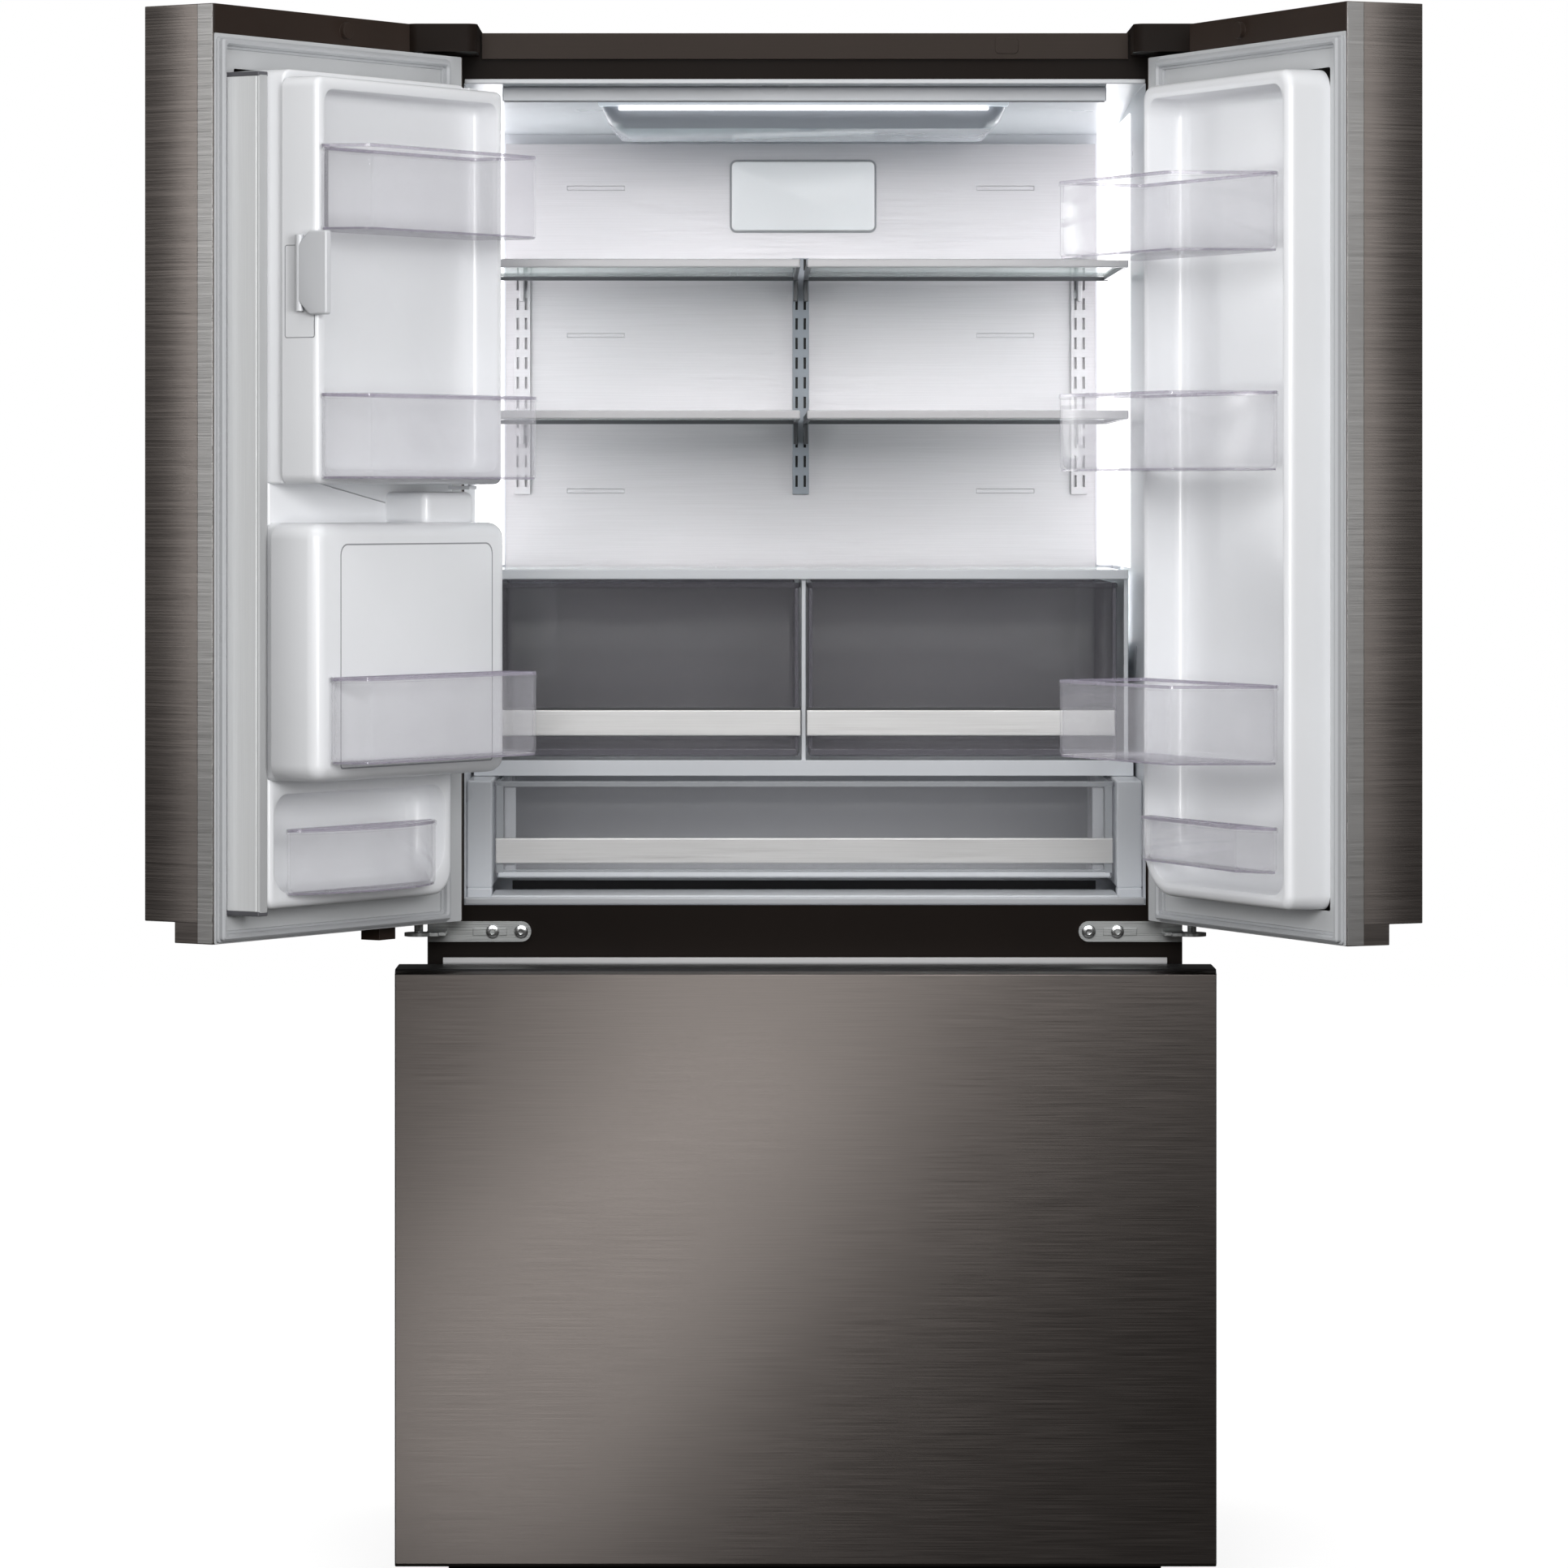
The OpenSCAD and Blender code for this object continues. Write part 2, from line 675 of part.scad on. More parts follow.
module left_liner_shape() {
    tray_a0 = plinth_a0 + 24;
    tray_a1 = plinth_a1 - 16;
    difference() {
        union() {
            door_panel();
            block([plinth_a0, 0, plinth_z0], [plinth_a1, plinth_b, plinth_z1]);
            block([plinth_a0, 0, ice_z0], [plinth_a1, ice_b0, ice_z1]);
            block([34, overhang_b, ice_z0], [plinth_a1, ice_b0, ice_z1]);
            block([plinth_a0, 0, block_z0], [plinth_a1, block_b, block_z1]);
            block([26, overhang_b, block_z0], [plinth_a1, block_b, block_z1]);
            block([245, plinth_b - 1, block_z1 - 1], [335, 100, ice_z0 - 8]);
            // Lugs above and below the ice room lid, with the bores of its pins
            for (z = [ice_z0 - 5.5, ice_z1 + 1.5])
                block([360, plinth_b - 1, z], [375, ice_hinge_b + 6, z + 4]);
        }
        translate([ice_hinge_a, ice_hinge_b, ice_z0 - 6])
            cylinder(h = ice_z1 - ice_z0 + 12, r = lid_pin_r + 0.05, $fn = 48);
        // Ice room
        block([50, -60, ice_z0 + 16], [357, ice_b0 + 1, ice_z1 - 16]);
        // Low recess behind the small bin
        block([tray_a0 - 12, 6, 824], [tray_a1, plinth_b + 1, block_z0 - 16]);
        // Dispenser alcove, open to the front
        block([alcove_a0 - 10, -door_t, alcove_z0 - 10], [alcove_a1 + 10, alcove_b + 6, alcove_z1 + 10]);
    }
}

module right_liner_shape() {
    difference() {
        union() {
            door_panel();
            block([36, 0, plinth_z0], [plinth_a1, plinth_b + 5, plinth_z1]);
        }
        block([52, 4, plinth_z0 + 16], [plinth_a1 - 14, plinth_b + 6, plinth_z1 - 16]);
    }
}

// Plan outline of a door bin, between its outer corners, from the wall at b0 to its face
function bin_outline(a0, c0, c1, a1, b0, t) = [
    [a0 + t, b0 + t], [c0 + t * 0.7, bin_reach - t], [c1 - t * 0.7, bin_reach - t], [a1 - t, b0 + t]
];

module door_bin(a0, c0, c1, a1, b0, z0, z1) {
    tray(bin_outline(a0, c0, c1, a1, b0, 0), bin_outline(a0, c0, c1, a1, b0, bin_wall), z0, z1, bin_wall);
}

// Points of a bowed front between two ends, for the small low bin
function bow(a0, a1, b0, rise, t) = [
    for (i = [0 : 12]) let (s = i / 12) [a0 + t + s * (a1 - a0 - 2 * t), b0 + (rise - t) * pow(sin(180 * s), 0.6)]
];

module left_door_skin() {
    color([0.45, 0.42, 0.40]) left_door_frame() difference() {
        door_skin();
        block([alcove_a0 - 20, -door_t - 1, alcove_z0 - 20], [alcove_a1 + 20, -door_t + 10, 1400]);
    }
}

module left_door_caps() {
    color([0.14, 0.12, 0.11]) left_door_frame() {
        door_caps();
        // Closing stop under the door
        block([322, -45, door_bottom - 15], [352, -20, door_bottom + 1]);
    }
}

module left_door_liner() {
    color([0.90, 0.91, 0.93]) left_door_frame() left_liner_shape();
}

module left_door_gasket() {
    color([0.68, 0.69, 0.70]) left_door_frame() door_gasket();
}

// Dispenser: front glass plate with its panel, and the alcove behind it
module dispenser_housing() {
    color([0.06, 0.06, 0.07]) left_door_frame() difference() {
        union() {
            block([alcove_a0 - 19.6, -door_t + 0.2, alcove_z0 - 19.6], [alcove_a1 + 19.6, -door_t + 2.6, 1399.6]);
            block([alcove_a0 - 9.6, -door_t + 1, alcove_z0 - 9.6], [alcove_a1 + 9.6, alcove_b + 5.6, alcove_z1 + 9.6]);
        }
        block([alcove_a0, -door_t - 1, alcove_z0], [alcove_a1, alcove_b, alcove_z1]);
    }
    // Nozzle block, and the two lugs that carry the paddle
    color([0.06, 0.06, 0.07]) left_door_frame() translate([alcove_mid, 0, 0]) {
        block([-20, -20, paddle_z + 8], [20, 20, alcove_z1 + 1]);
        for (a = [-32, 26.4]) difference() {
            block([a, paddle_b - 9, paddle_z - 10], [a + 5.6, paddle_b + 9, alcove_z1 + 1]);
            translate([a - 1, paddle_b, paddle_z]) rotate([0, 90, 0])
                cylinder(h = 8, r = paddle_pin_r + 0.05, $fn = 48);
        }
    }
}

module dispenser_paddle() {
    color([0.25, 0.25, 0.27]) left_door_frame() translate([alcove_mid, 0, 0]) {
        block([-22, paddle_b - 2, 1092], [22, paddle_b + 2, paddle_z]);
        translate([-31, paddle_b, paddle_z]) rotate([0, 90, 0])
            cylinder(h = 62, r = paddle_pin_r, $fn = 48);
        translate([-26, paddle_b, paddle_z]) rotate([0, 90, 0]) cylinder(h = 52, r = 5, $fn = 48);
    }
}

module ice_maker() {
    color([0.80, 0.82, 0.84]) left_door_frame() {
        block([60, -50, 1540], [347, 20, 1640]);
        difference() {
            block([60, -50, ice_z0 + 16.4], [347, 50, 1520]);
            block([64, -46, ice_z0 + 20.4], [343, 46, 1521]);
        }
    }
}

// Lid of the ice room, its outer face hollowed out for two bins
module ice_room_door() {
    color([0.92, 0.93, 0.95]) left_door_frame() {
        difference() {
            block([34, ice_b0 + 1.6, ice_z0], [plinth_a1, ice_b1, ice_z1]);
            block([48, 80, ice_z0 + 14], [360, ice_b1 + 1, ice_z1 - 14]);
        }
        for (z = [ice_z0 - 5.4, ice_z1 - 1])
            translate([ice_hinge_a, ice_hinge_b, z]) cylinder(h = 6.4, r = lid_pin_r, $fn = 48);
    }
}

module ice_latch() {
    color([0.72, 0.73, 0.75]) left_door_frame() {
        block([latch_a - 4, latch_b, 1433], [latch_a + 4, 130, 1521]);
        translate([latch_a, latch_b, 1437]) cylinder(h = 80, r = 4.6, $fn = 48);
    }
}

module ice_door_bins() {
    pocket = [[50, 82.5], [50, 116], [356, 116], [356, 82.5]];
    inner = [[53, 85.5], [53, 118], [353, 118], [353, 85.5]];
    color([0.80, 0.80, 0.85, 0.35]) left_door_frame() for (z = [1261, 1522]) {
        difference() {
            union() {
                door_bin(38, 55, 362, 368, ice_b1 + 0.8, z, z + 90);
                tray(pocket, inner, z + 11, z + 90, bin_wall);
            }
            block([53, ice_b1 - 6, z + 11 + bin_wall], [353, ice_b1 + 10, z + 91]);
        }
    }
}

module left_door_bins() {
    color([0.80, 0.80, 0.85, 0.35]) left_door_frame() {
        door_bin(38, 52, 362, 368, block_b + 0.8, 962, 1053);
        difference() {
            translate([0, 0, 821]) linear_extrude(70) polygon(bow(58, 330, 45.5, 44.5, 0));
            translate([0, 0, 824]) linear_extrude(70) polygon(bow(58, 330, 45.5, 44.5, 3));
        }
    }
}

// Hinged bar that closes the gap between the doors, folded back along the left door
module mullion() {
    color([0.45, 0.46, 0.48]) left_door_frame()
        block([mullion_a, 0.4, mullion_z0], [mullion_a + mullion_t, mullion_w, mullion_z1]);
}

module right_door_skin() {
    color([0.45, 0.42, 0.40]) right_door_frame() door_skin();
}

module right_door_caps() {
    color([0.14, 0.12, 0.11]) right_door_frame() door_caps();
}

module right_door_liner() {
    color([0.90, 0.91, 0.93]) right_door_frame() right_liner_shape();
}

module right_door_gasket() {
    color([0.68, 0.69, 0.70]) right_door_frame() door_gasket();
}

module right_door_bins() {
    small = [[50, 50.8], [100, 80], [345, 56], [345, 50.8]];
    small_inner = [[53, 53.8], [100, 77], [342, 54.2], [342, 53.8]];
    color([0.80, 0.80, 0.85, 0.35]) right_door_frame() {
        for (z = [960, 1270, 1501]) door_bin(46, 86, 345, 366, 50.8, z, z + 84);
        tray(small, small_inner, 845, 894, bin_wall);
    }
}

outer_case();
back_panel();
machine_cover();
machine_base();
cabinet_foam();
front_frame();
fridge_liner();
freezer_liner();
top_trim();
hinge_covers();
upper_hinges();
lower_hinges();
hinge_screws();
rear_wall_panel();
air_filter_cover();
ceiling_light();
light_lenses();
shelf_ladders();
shelf_frames();
shelf_panes();
crisper_cover();
crisper_frame();
pantry_side_covers();
toe_grille();
leveling_feet();
evaporator();
compressor();
condenser();
water_inlet();
fixed_rails();
rear_rollers();
condenser_fan();
crisper_left();
crisper_left_trim();
crisper_right();
crisper_right_trim();
pantry_drawer();
pantry_trim();
freezer_front();
freezer_inner_panel();
freezer_gasket();
freezer_basket();
moving_rails();
left_door_skin();
left_door_caps();
left_door_liner();
left_door_gasket();
dispenser_housing();
dispenser_paddle();
ice_maker();
ice_room_door();
ice_latch();
ice_door_bins();
left_door_bins();
mullion();
right_door_skin();
right_door_caps();
right_door_liner();
right_door_gasket();
right_door_bins();
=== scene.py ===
import json
import math
import bpy
import bmesh
from mathutils import Matrix, Vector

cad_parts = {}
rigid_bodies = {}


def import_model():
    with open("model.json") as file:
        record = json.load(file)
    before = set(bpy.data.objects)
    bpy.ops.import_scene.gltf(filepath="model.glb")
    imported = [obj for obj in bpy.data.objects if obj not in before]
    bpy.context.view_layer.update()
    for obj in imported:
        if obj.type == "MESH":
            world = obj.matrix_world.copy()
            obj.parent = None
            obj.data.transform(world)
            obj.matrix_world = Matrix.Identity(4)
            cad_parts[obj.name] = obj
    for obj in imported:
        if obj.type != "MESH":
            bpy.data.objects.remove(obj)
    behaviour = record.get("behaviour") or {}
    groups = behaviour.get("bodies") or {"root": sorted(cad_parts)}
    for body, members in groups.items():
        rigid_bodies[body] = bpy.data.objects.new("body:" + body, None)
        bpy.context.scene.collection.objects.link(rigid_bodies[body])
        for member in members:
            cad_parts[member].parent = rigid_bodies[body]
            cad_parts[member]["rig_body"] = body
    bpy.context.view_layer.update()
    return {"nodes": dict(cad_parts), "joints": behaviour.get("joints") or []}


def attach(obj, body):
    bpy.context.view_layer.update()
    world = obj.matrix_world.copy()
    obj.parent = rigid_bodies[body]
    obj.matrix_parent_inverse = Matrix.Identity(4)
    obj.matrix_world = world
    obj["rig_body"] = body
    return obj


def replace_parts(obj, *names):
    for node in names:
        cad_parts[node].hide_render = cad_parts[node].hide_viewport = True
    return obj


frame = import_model()
MM = 0.001
JOINTS = {j["name"]: j for j in frame["joints"]}

# Driving sizes in millimetres. X runs to the right, Y to the back from the case front, Z up from the floor.
CAVITY_HALF = 382
CAVITY_TOP = 1706
CEILING_HALF = 341
FILTER_FRONT = 631
SHELF_TOPS = (1515, 1341)
SHELF_FRONT, SHELF_BACK = 172, 612
SHELF_INNER_X, SHELF_OUTER_X = 4, 373
CRISPER_INNER_X, CRISPER_OUTER_X = 5, 360
CRISPER_FRONT, CRISPER_BACK = 178, 590
CRISPER_FOOT, CRISPER_TOP = 944, 1144
PANTRY_HALF = 352
PANTRY_FRONT, PANTRY_BACK = 102, 560
PANTRY_FOOT, PANTRY_TOP = 809, 919
SILL_FOOT = 785.1
DRAWER_HALF = 454
DRAWER_TOP = 720.15
# In a door's own frame: from its free edge, inwards from its flange, and up
DOOR_FOOT, DOOR_TOP = 772, 1761.2
DOOR_PAD_END = 371
DOOR_PAD_FOOT, DOOR_PAD_TOP = 807, 1693
BIN_FRONT = 166
HALF_DOOR_GAP = 3
FLANGE_Y = -10


# ------------------------------------------------------------ frames of the case and the two doors

def door_frame(side):
    """Matrix from the millimetres of a door's own frame to metres in the shared frame."""
    sign = -1 if side == "left" else 1
    joint = JOINTS[side + "_door_hinge"]
    pivot = Vector((joint["pos_m"][0], joint["pos_m"][1], 0))
    opened = -joint["range_deg"][0] * joint["axis"][2]
    corner = Vector((sign * HALF_DOOR_GAP * MM, FLANGE_Y * MM, 0))
    return (Matrix.Translation(pivot) @ Matrix.Rotation(math.radians(opened), 4, "Z")
            @ Matrix.Translation(corner - pivot) @ Matrix.Diagonal((sign * MM, MM, MM, 1)))


LEFT = door_frame("left")
RIGHT = door_frame("right")
WORLD = Matrix.Diagonal((MM, MM, MM, 1))


# ------------------------------------------------------------ materials

def new_material(name):
    """A new material, its nodes and links, its shader and the piece's own coordinates."""
    mat = bpy.data.materials.new(name)
    mat.use_nodes = True
    nodes = mat.node_tree.nodes
    links = mat.node_tree.links
    bsdf = nodes["Principled BSDF"]
    coords = nodes.new("ShaderNodeTexCoord").outputs["Object"]
    return mat, nodes, links, bsdf, coords


def scaled_noise(nodes, links, coords, scale, detail, rough=0.5):
    """Noise with its own number of waves a metre along each axis."""
    mapping = nodes.new("ShaderNodeMapping")
    mapping.inputs["Scale"].default_value = scale
    links.new(coords, mapping.inputs["Vector"])
    noise = nodes.new("ShaderNodeTexNoise")
    noise.inputs["Scale"].default_value = 1.0
    noise.inputs["Detail"].default_value = detail
    noise.inputs["Roughness"].default_value = rough
    links.new(mapping.outputs["Vector"], noise.inputs["Vector"])
    return noise.outputs["Fac"]


def ramp(nodes, links, fac, low, high, lo=0.3, hi=0.7):
    """A value between two numbers, or a colour between two colours."""
    if isinstance(low, (int, float)):
        node = nodes.new("ShaderNodeMapRange")
        node.inputs["From Min"].default_value = lo
        node.inputs["From Max"].default_value = hi
        node.inputs["To Min"].default_value = low
        node.inputs["To Max"].default_value = high
        links.new(fac, node.inputs["Value"])
        return node.outputs["Result"]
    node = nodes.new("ShaderNodeValToRGB")
    node.color_ramp.elements[0].position = lo
    node.color_ramp.elements[1].position = hi
    node.color_ramp.elements[0].color = (*low, 1)
    node.color_ramp.elements[1].color = (*high, 1)
    links.new(fac, node.inputs["Fac"])
    return node.outputs["Color"]


def add_bump(nodes, links, bsdf, fac, strength, distance):
    """Fine relief in the shading, its depth in metres."""
    bump = nodes.new("ShaderNodeBump")
    bump.inputs["Strength"].default_value = strength
    bump.inputs["Distance"].default_value = distance
    links.new(fac, bump.inputs["Height"])
    links.new(bump.outputs["Normal"], bsdf.inputs["Normal"])


def brushed(name, colour, rough, grain, metallic=1.0, vertical=False, bump=0.08):
    """Metal with fine short scratches, along the width or, if vertical, up the height."""
    mat, nodes, links, bsdf, coords = new_material(name)
    long, fine = 9.0, 1500.0
    scale = (fine, fine, long) if vertical else (long, long, fine)
    streaks = scaled_noise(nodes, links, coords, scale, 3.0, 0.65)
    patches = scaled_noise(nodes, links, coords, (3, 3, 5), 2.0)
    dark = tuple(c * (1 - grain) for c in colour)
    light = tuple(min(1, c * (1 + grain)) for c in colour)
    links.new(ramp(nodes, links, streaks, dark, light, 0.35, 0.65), bsdf.inputs["Base Color"])
    mix = nodes.new("ShaderNodeMath")
    mix.operation = "MULTIPLY"
    links.new(streaks, mix.inputs[0])
    links.new(ramp(nodes, links, patches, 0.9, 1.1), mix.inputs[1])
    links.new(ramp(nodes, links, mix.outputs[0], rough - 0.05, rough + 0.05, 0.35, 0.65),
              bsdf.inputs["Roughness"])
    bsdf.inputs["Metallic"].default_value = metallic
    add_bump(nodes, links, bsdf, streaks, bump, 0.0002)
    return mat


def plastic(name, colour, rough, coat=0.0, mottle=0.02, peel=0.03, peel_scale=420.0, spec=0.5):
    """Moulded plastic or paint with a faint orange peel and a little unevenness in tone and gloss."""
    mat, nodes, links, bsdf, coords = new_material(name)
    clouds = scaled_noise(nodes, links, coords, (7, 7, 7), 3.0)
    dark = tuple(c * (1 - mottle) for c in colour)
    light = tuple(min(1, c * (1 + mottle)) for c in colour)
    links.new(ramp(nodes, links, clouds, dark, light), bsdf.inputs["Base Color"])
    links.new(ramp(nodes, links, clouds, rough - 0.03, rough + 0.04), bsdf.inputs["Roughness"])
    bsdf.inputs["Specular IOR Level"].default_value = spec
    bsdf.inputs["Coat Weight"].default_value = coat
    bsdf.inputs["Coat Roughness"].default_value = 0.12
    skin = scaled_noise(nodes, links, coords, (peel_scale,) * 3, 1.0)
    add_bump(nodes, links, bsdf, skin, peel, 0.0004)
    return mat


def clear(name, colour, low, high):
    """Clear or tinted plastic or glass that grows denser where it is seen edge on."""
    mat, nodes, links, bsdf, coords = new_material(name)
    bsdf.inputs["Roughness"].default_value = 0.06
    bsdf.inputs["Base Color"].default_value = (*colour, 1)
    bsdf.inputs["Specular IOR Level"].default_value = 0.9
    weight = nodes.new("ShaderNodeLayerWeight")
    weight.inputs["Blend"].default_value = 0.35
    haze = scaled_noise(nodes, links, coords, (14, 14, 14), 2.0)
    mix = nodes.new("ShaderNodeMath")
    mix.operation = "MULTIPLY"
    links.new(weight.outputs["Facing"], mix.inputs[0])
    links.new(ramp(nodes, links, haze, 0.9, 1.1), mix.inputs[1])
    links.new(ramp(nodes, links, mix.outputs[0], low, high, 0.05, 0.95), bsdf.inputs["Alpha"])
    return mat


def glow(name, colour, strength):
    """A diffuser that gives off an even light."""
    mat, _, _, bsdf, _ = new_material(name)
    bsdf.inputs["Base Color"].default_value = (*colour, 1)
    bsdf.inputs["Roughness"].default_value = 0.5
    bsdf.inputs["Emission Color"].default_value = (*colour, 1)
    bsdf.inputs["Emission Strength"].default_value = strength
    return mat


MATS = {"skin": brushed("black_stainless", (0.20, 0.178, 0.165), 0.34, grain=0.10, bump=0.10),
        # A lighter copy of the black stainless for the doors' skins and bowed edges: painted light on the
        # sides of the doors
        "skin_lit_copy": brushed("black_stainless_lit_copy", (0.23, 0.205, 0.19), 0.36, grain=0.10, bump=0.10),
        "edge_band": brushed("edge_band", (0.62, 0.61, 0.60), 0.36, grain=0.05),
        "case": plastic("case_brown", (0.020, 0.0135, 0.011), 0.42, coat=0.15, mottle=0.06),
        "trim": plastic("trim_brown", (0.022, 0.0135, 0.0095), 0.5, mottle=0.08, spec=0.3),
        "trim_top": brushed("top_band", (0.088, 0.066, 0.054), 0.50, metallic=0.3, grain=0.06),
        "black": plastic("black_plastic", (0.012, 0.011, 0.011), 0.5),
        "painted_shade": plastic("painted_shade_black", (0.004, 0.004, 0.005), 0.6, spec=0.15),
        "white": plastic("liner_white", (0.72, 0.74, 0.775), 0.30, coat=0.25, mottle=0.012),
        "white_door": plastic("door_white", (0.80, 0.81, 0.83), 0.32, coat=0.2, mottle=0.012),
        "white_cool": plastic("cover_white", (0.90, 0.925, 0.96), 0.30, coat=0.2, mottle=0.012),
        "flange": plastic("flange_grey", (0.50, 0.51, 0.52), 0.42, mottle=0.02),
        "gasket": plastic("gasket_grey", (0.42, 0.43, 0.445), 0.62, mottle=0.03),
        "mullion_grey": plastic("mullion_grey", (0.42, 0.425, 0.43), 0.4),
        "grey_plate": brushed("mullion_plate", (0.80, 0.81, 0.815), 0.38, metallic=0.15, grain=0.03,
                              vertical=True), "dark_grey": plastic("end_cap_grey", (0.10, 0.10, 0.11),
                                                                   0.45),
        "latch": plastic("latch_grey", (0.60, 0.61, 0.63), 0.35, coat=0.3),
        "rear": brushed("rear_wall", (0.52, 0.505, 0.525), 0.40, metallic=0.45, grain=0.05),
        "shelf_trim": plastic("shelf_trim", (0.80, 0.785, 0.80), 0.3, coat=0.3),
        "ladder": plastic("ladder_grey", (0.27, 0.29, 0.325), 0.38),
        "pull": brushed("pull_metal", (0.72, 0.715, 0.71), 0.34, metallic=0.75, grain=0.04),
        "hinge": brushed("hinge_steel", (0.60, 0.615, 0.61), 0.30, metallic=0.65, grain=0.06),
        "screw": brushed("screw_steel", (0.72, 0.73, 0.73), 0.22, grain=0.03),
        "glass": clear("shelf_glass", (0.55, 0.66, 0.64), 0.16, 0.85),
        "bin": clear("bin_clear", (0.80, 0.79, 0.85), 0.015, 0.40),
        "bin_edge": clear("bin_edge", (0.42, 0.38, 0.48), 0.30, 0.80),
        "smoke": clear("crisper_smoke", (0.16, 0.155, 0.175), 0.26, 0.90),
        "smoke_edge": clear("crisper_edge", (0.30, 0.29, 0.33), 0.55, 0.96),
        "pantry": clear("pantry_clear", (0.76, 0.755, 0.785), 0.08, 0.85),
        "dispenser": plastic("dispenser_black", (0.010, 0.010, 0.012), 0.12, coat=0.6),
        "paddle": plastic("paddle_grey", (0.06, 0.06, 0.065), 0.4),
        "foam": plastic("foam", (0.80, 0.70, 0.40), 0.9, mottle=0.1, peel=0.3, peel_scale=160.0),
        "zinc": brushed("zinc", (0.52, 0.53, 0.54), 0.42, grain=0.1),
        "board": plastic("machine_board", (0.085, 0.088, 0.092), 0.7, mottle=0.1, peel=0.2),
        "fins": brushed("fins", (0.75, 0.77, 0.79), 0.35, grain=0.05),
        "enamel": plastic("compressor_enamel", (0.012, 0.012, 0.013), 0.3, coat=0.4),
        "lacquer": plastic("condenser_lacquer", (0.16, 0.08, 0.05), 0.4),
        "brass": brushed("brass", (0.75, 0.55, 0.24), 0.25, grain=0.06),
        "roller": plastic("roller_grey", (0.06, 0.06, 0.063), 0.55),
        "lamp": plastic("lamp_housing", (0.52, 0.545, 0.60), 0.22, coat=0.4),
        "rail": plastic("rail_dark", (0.055, 0.056, 0.062), 0.35, coat=0.3),
        "strip": brushed("strip_silver", (0.74, 0.735, 0.74), 0.4, metallic=0.3, grain=0.04),
        "line": plastic("fine_line", (0.30, 0.305, 0.32), 0.5),
        "filter": plastic("filter_cover", (0.86, 0.85, 0.865), 0.35, coat=0.2, mottle=0.01),
        "pantry_edge": clear("pantry_edge", (0.80, 0.83, 0.86), 0.5, 0.96),
        # The lamp diffuser's faint glow is partly its own and partly painted light on faces that the lamps
        # leave in shade
        "led": glow("led_strip", (1.0, 1.0, 1.0), 1.6), "diffuser_painted_glow": glow("lamp_diffuser_painted_glow",
                                                                         (0.78, 0.84, 0.90), 0.45),
        "led_side": glow("led_column", (1.0, 0.985, 1.0), 1.3), }


# ------------------------------------------------------------ mesh building

def make_object(name, verts, faces, mat, matrix, body, bevel=0.0, angle=30.0):
    """A mesh piece in the given frame, its edges rounded by bevel millimetres, riding on a body."""
    bm = bmesh.new()
    made = [bm.verts.new(matrix @ Vector(v)) for v in verts]
    for face in faces:
        try:
            bm.faces.new([made[i] for i in face])
        except ValueError:
            pass
    bmesh.ops.remove_doubles(bm, verts=bm.verts, dist=1e-6)
    bmesh.ops.recalc_face_normals(bm, faces=bm.faces)
    mesh = bpy.data.meshes.new(name)
    bm.to_mesh(mesh)
    bm.free()
    return finish_object(name, mesh, mat, body, bevel, 3, angle)


def finish_object(name, mesh, mat, body, bevel, segments, angle):
    """Adds the mesh to the scene, smooth up to the given angle, with its material and body."""
    obj = bpy.data.objects.new(name, mesh)
    bpy.context.scene.collection.objects.link(obj)
    mesh.materials.append(MATS[mat])
    for polygon in mesh.polygons:
        polygon.use_smooth = True
    if bevel > 0:
        mod = obj.modifiers.new("edges", "BEVEL")
        mod.width = bevel * MM
        mod.segments = segments
        mod.limit_method = "ANGLE"
        mod.angle_limit = math.radians(angle)
        mod.harden_normals = True
        mod.use_clamp_overlap = True
    else:
        mesh.set_sharp_from_angle(angle=math.radians(angle))
    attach(obj, body)
    return obj


def refined(node, mat, bevel):
    """The CAD node's own shape with rounded edges, shown in its place."""
    source = frame["nodes"][node]
    bm = bmesh.new()
    bm.from_mesh(source.data)
    bmesh.ops.remove_doubles(bm, verts=bm.verts, dist=2e-6)
    bmesh.ops.dissolve_limit(bm, angle_limit=math.radians(0.5), verts=bm.verts, edges=bm.edges)
    verts = [v.co.copy() for v in bm.verts]
    bm.verts.index_update()
    faces = [[v.index for v in f.verts] for f in bm.faces]
    bm.free()
    mesh = bpy.data.meshes.new(node + "_look")
    mesh.from_pydata(verts, [], faces)
    obj = finish_object(node + "_look", mesh, mat, source["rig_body"], bevel, 2, 30.0)
    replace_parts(obj, node)
    return obj


def dress(node, mat):
    """Gives a CAD node that keeps its own shape a better material."""
    mesh = frame["nodes"][node].data
    mesh.materials.clear()
    mesh.materials.append(MATS[mat])


def box_mesh(low, high):
    """Verts and faces of a block between two corners."""
    x0, y0, z0 = low
    x1, y1, z1 = high
    verts = [(x0, y0, z0), (x1, y0, z0), (x1, y1, z0), (x0, y1, z0),
             (x0, y0, z1), (x1, y0, z1), (x1, y1, z1), (x0, y1, z1)]
    faces = [(0, 3, 2, 1), (4, 5, 6, 7), (0, 1, 5, 4), (1, 2, 6, 5), (2, 3, 7, 6), (3, 0, 4, 7)]
    return verts, faces


def boxes(name, parts, mat, matrix, body, bevel):
    """One piece made of several rounded blocks, each given by two corners."""
    verts, faces = [], []
    for low, high in parts:
        v, f = box_mesh(low, high)
        faces += [[i + len(verts) for i in face] for face in f]
        verts += v
    return make_object(name, verts, faces, mat, matrix, body, bevel)


def case_boxes(name, parts, mat, bevel):
    """Rounded blocks that belong to the case."""
    return boxes(name, parts, mat, WORLD, "cabinet", bevel)


def mirrored(low, high):
    """A block on the right of the middle plane and its mirror image."""
    return [((-high[0], *low[1:]), (-low[0], *high[1:])), (low, high)]


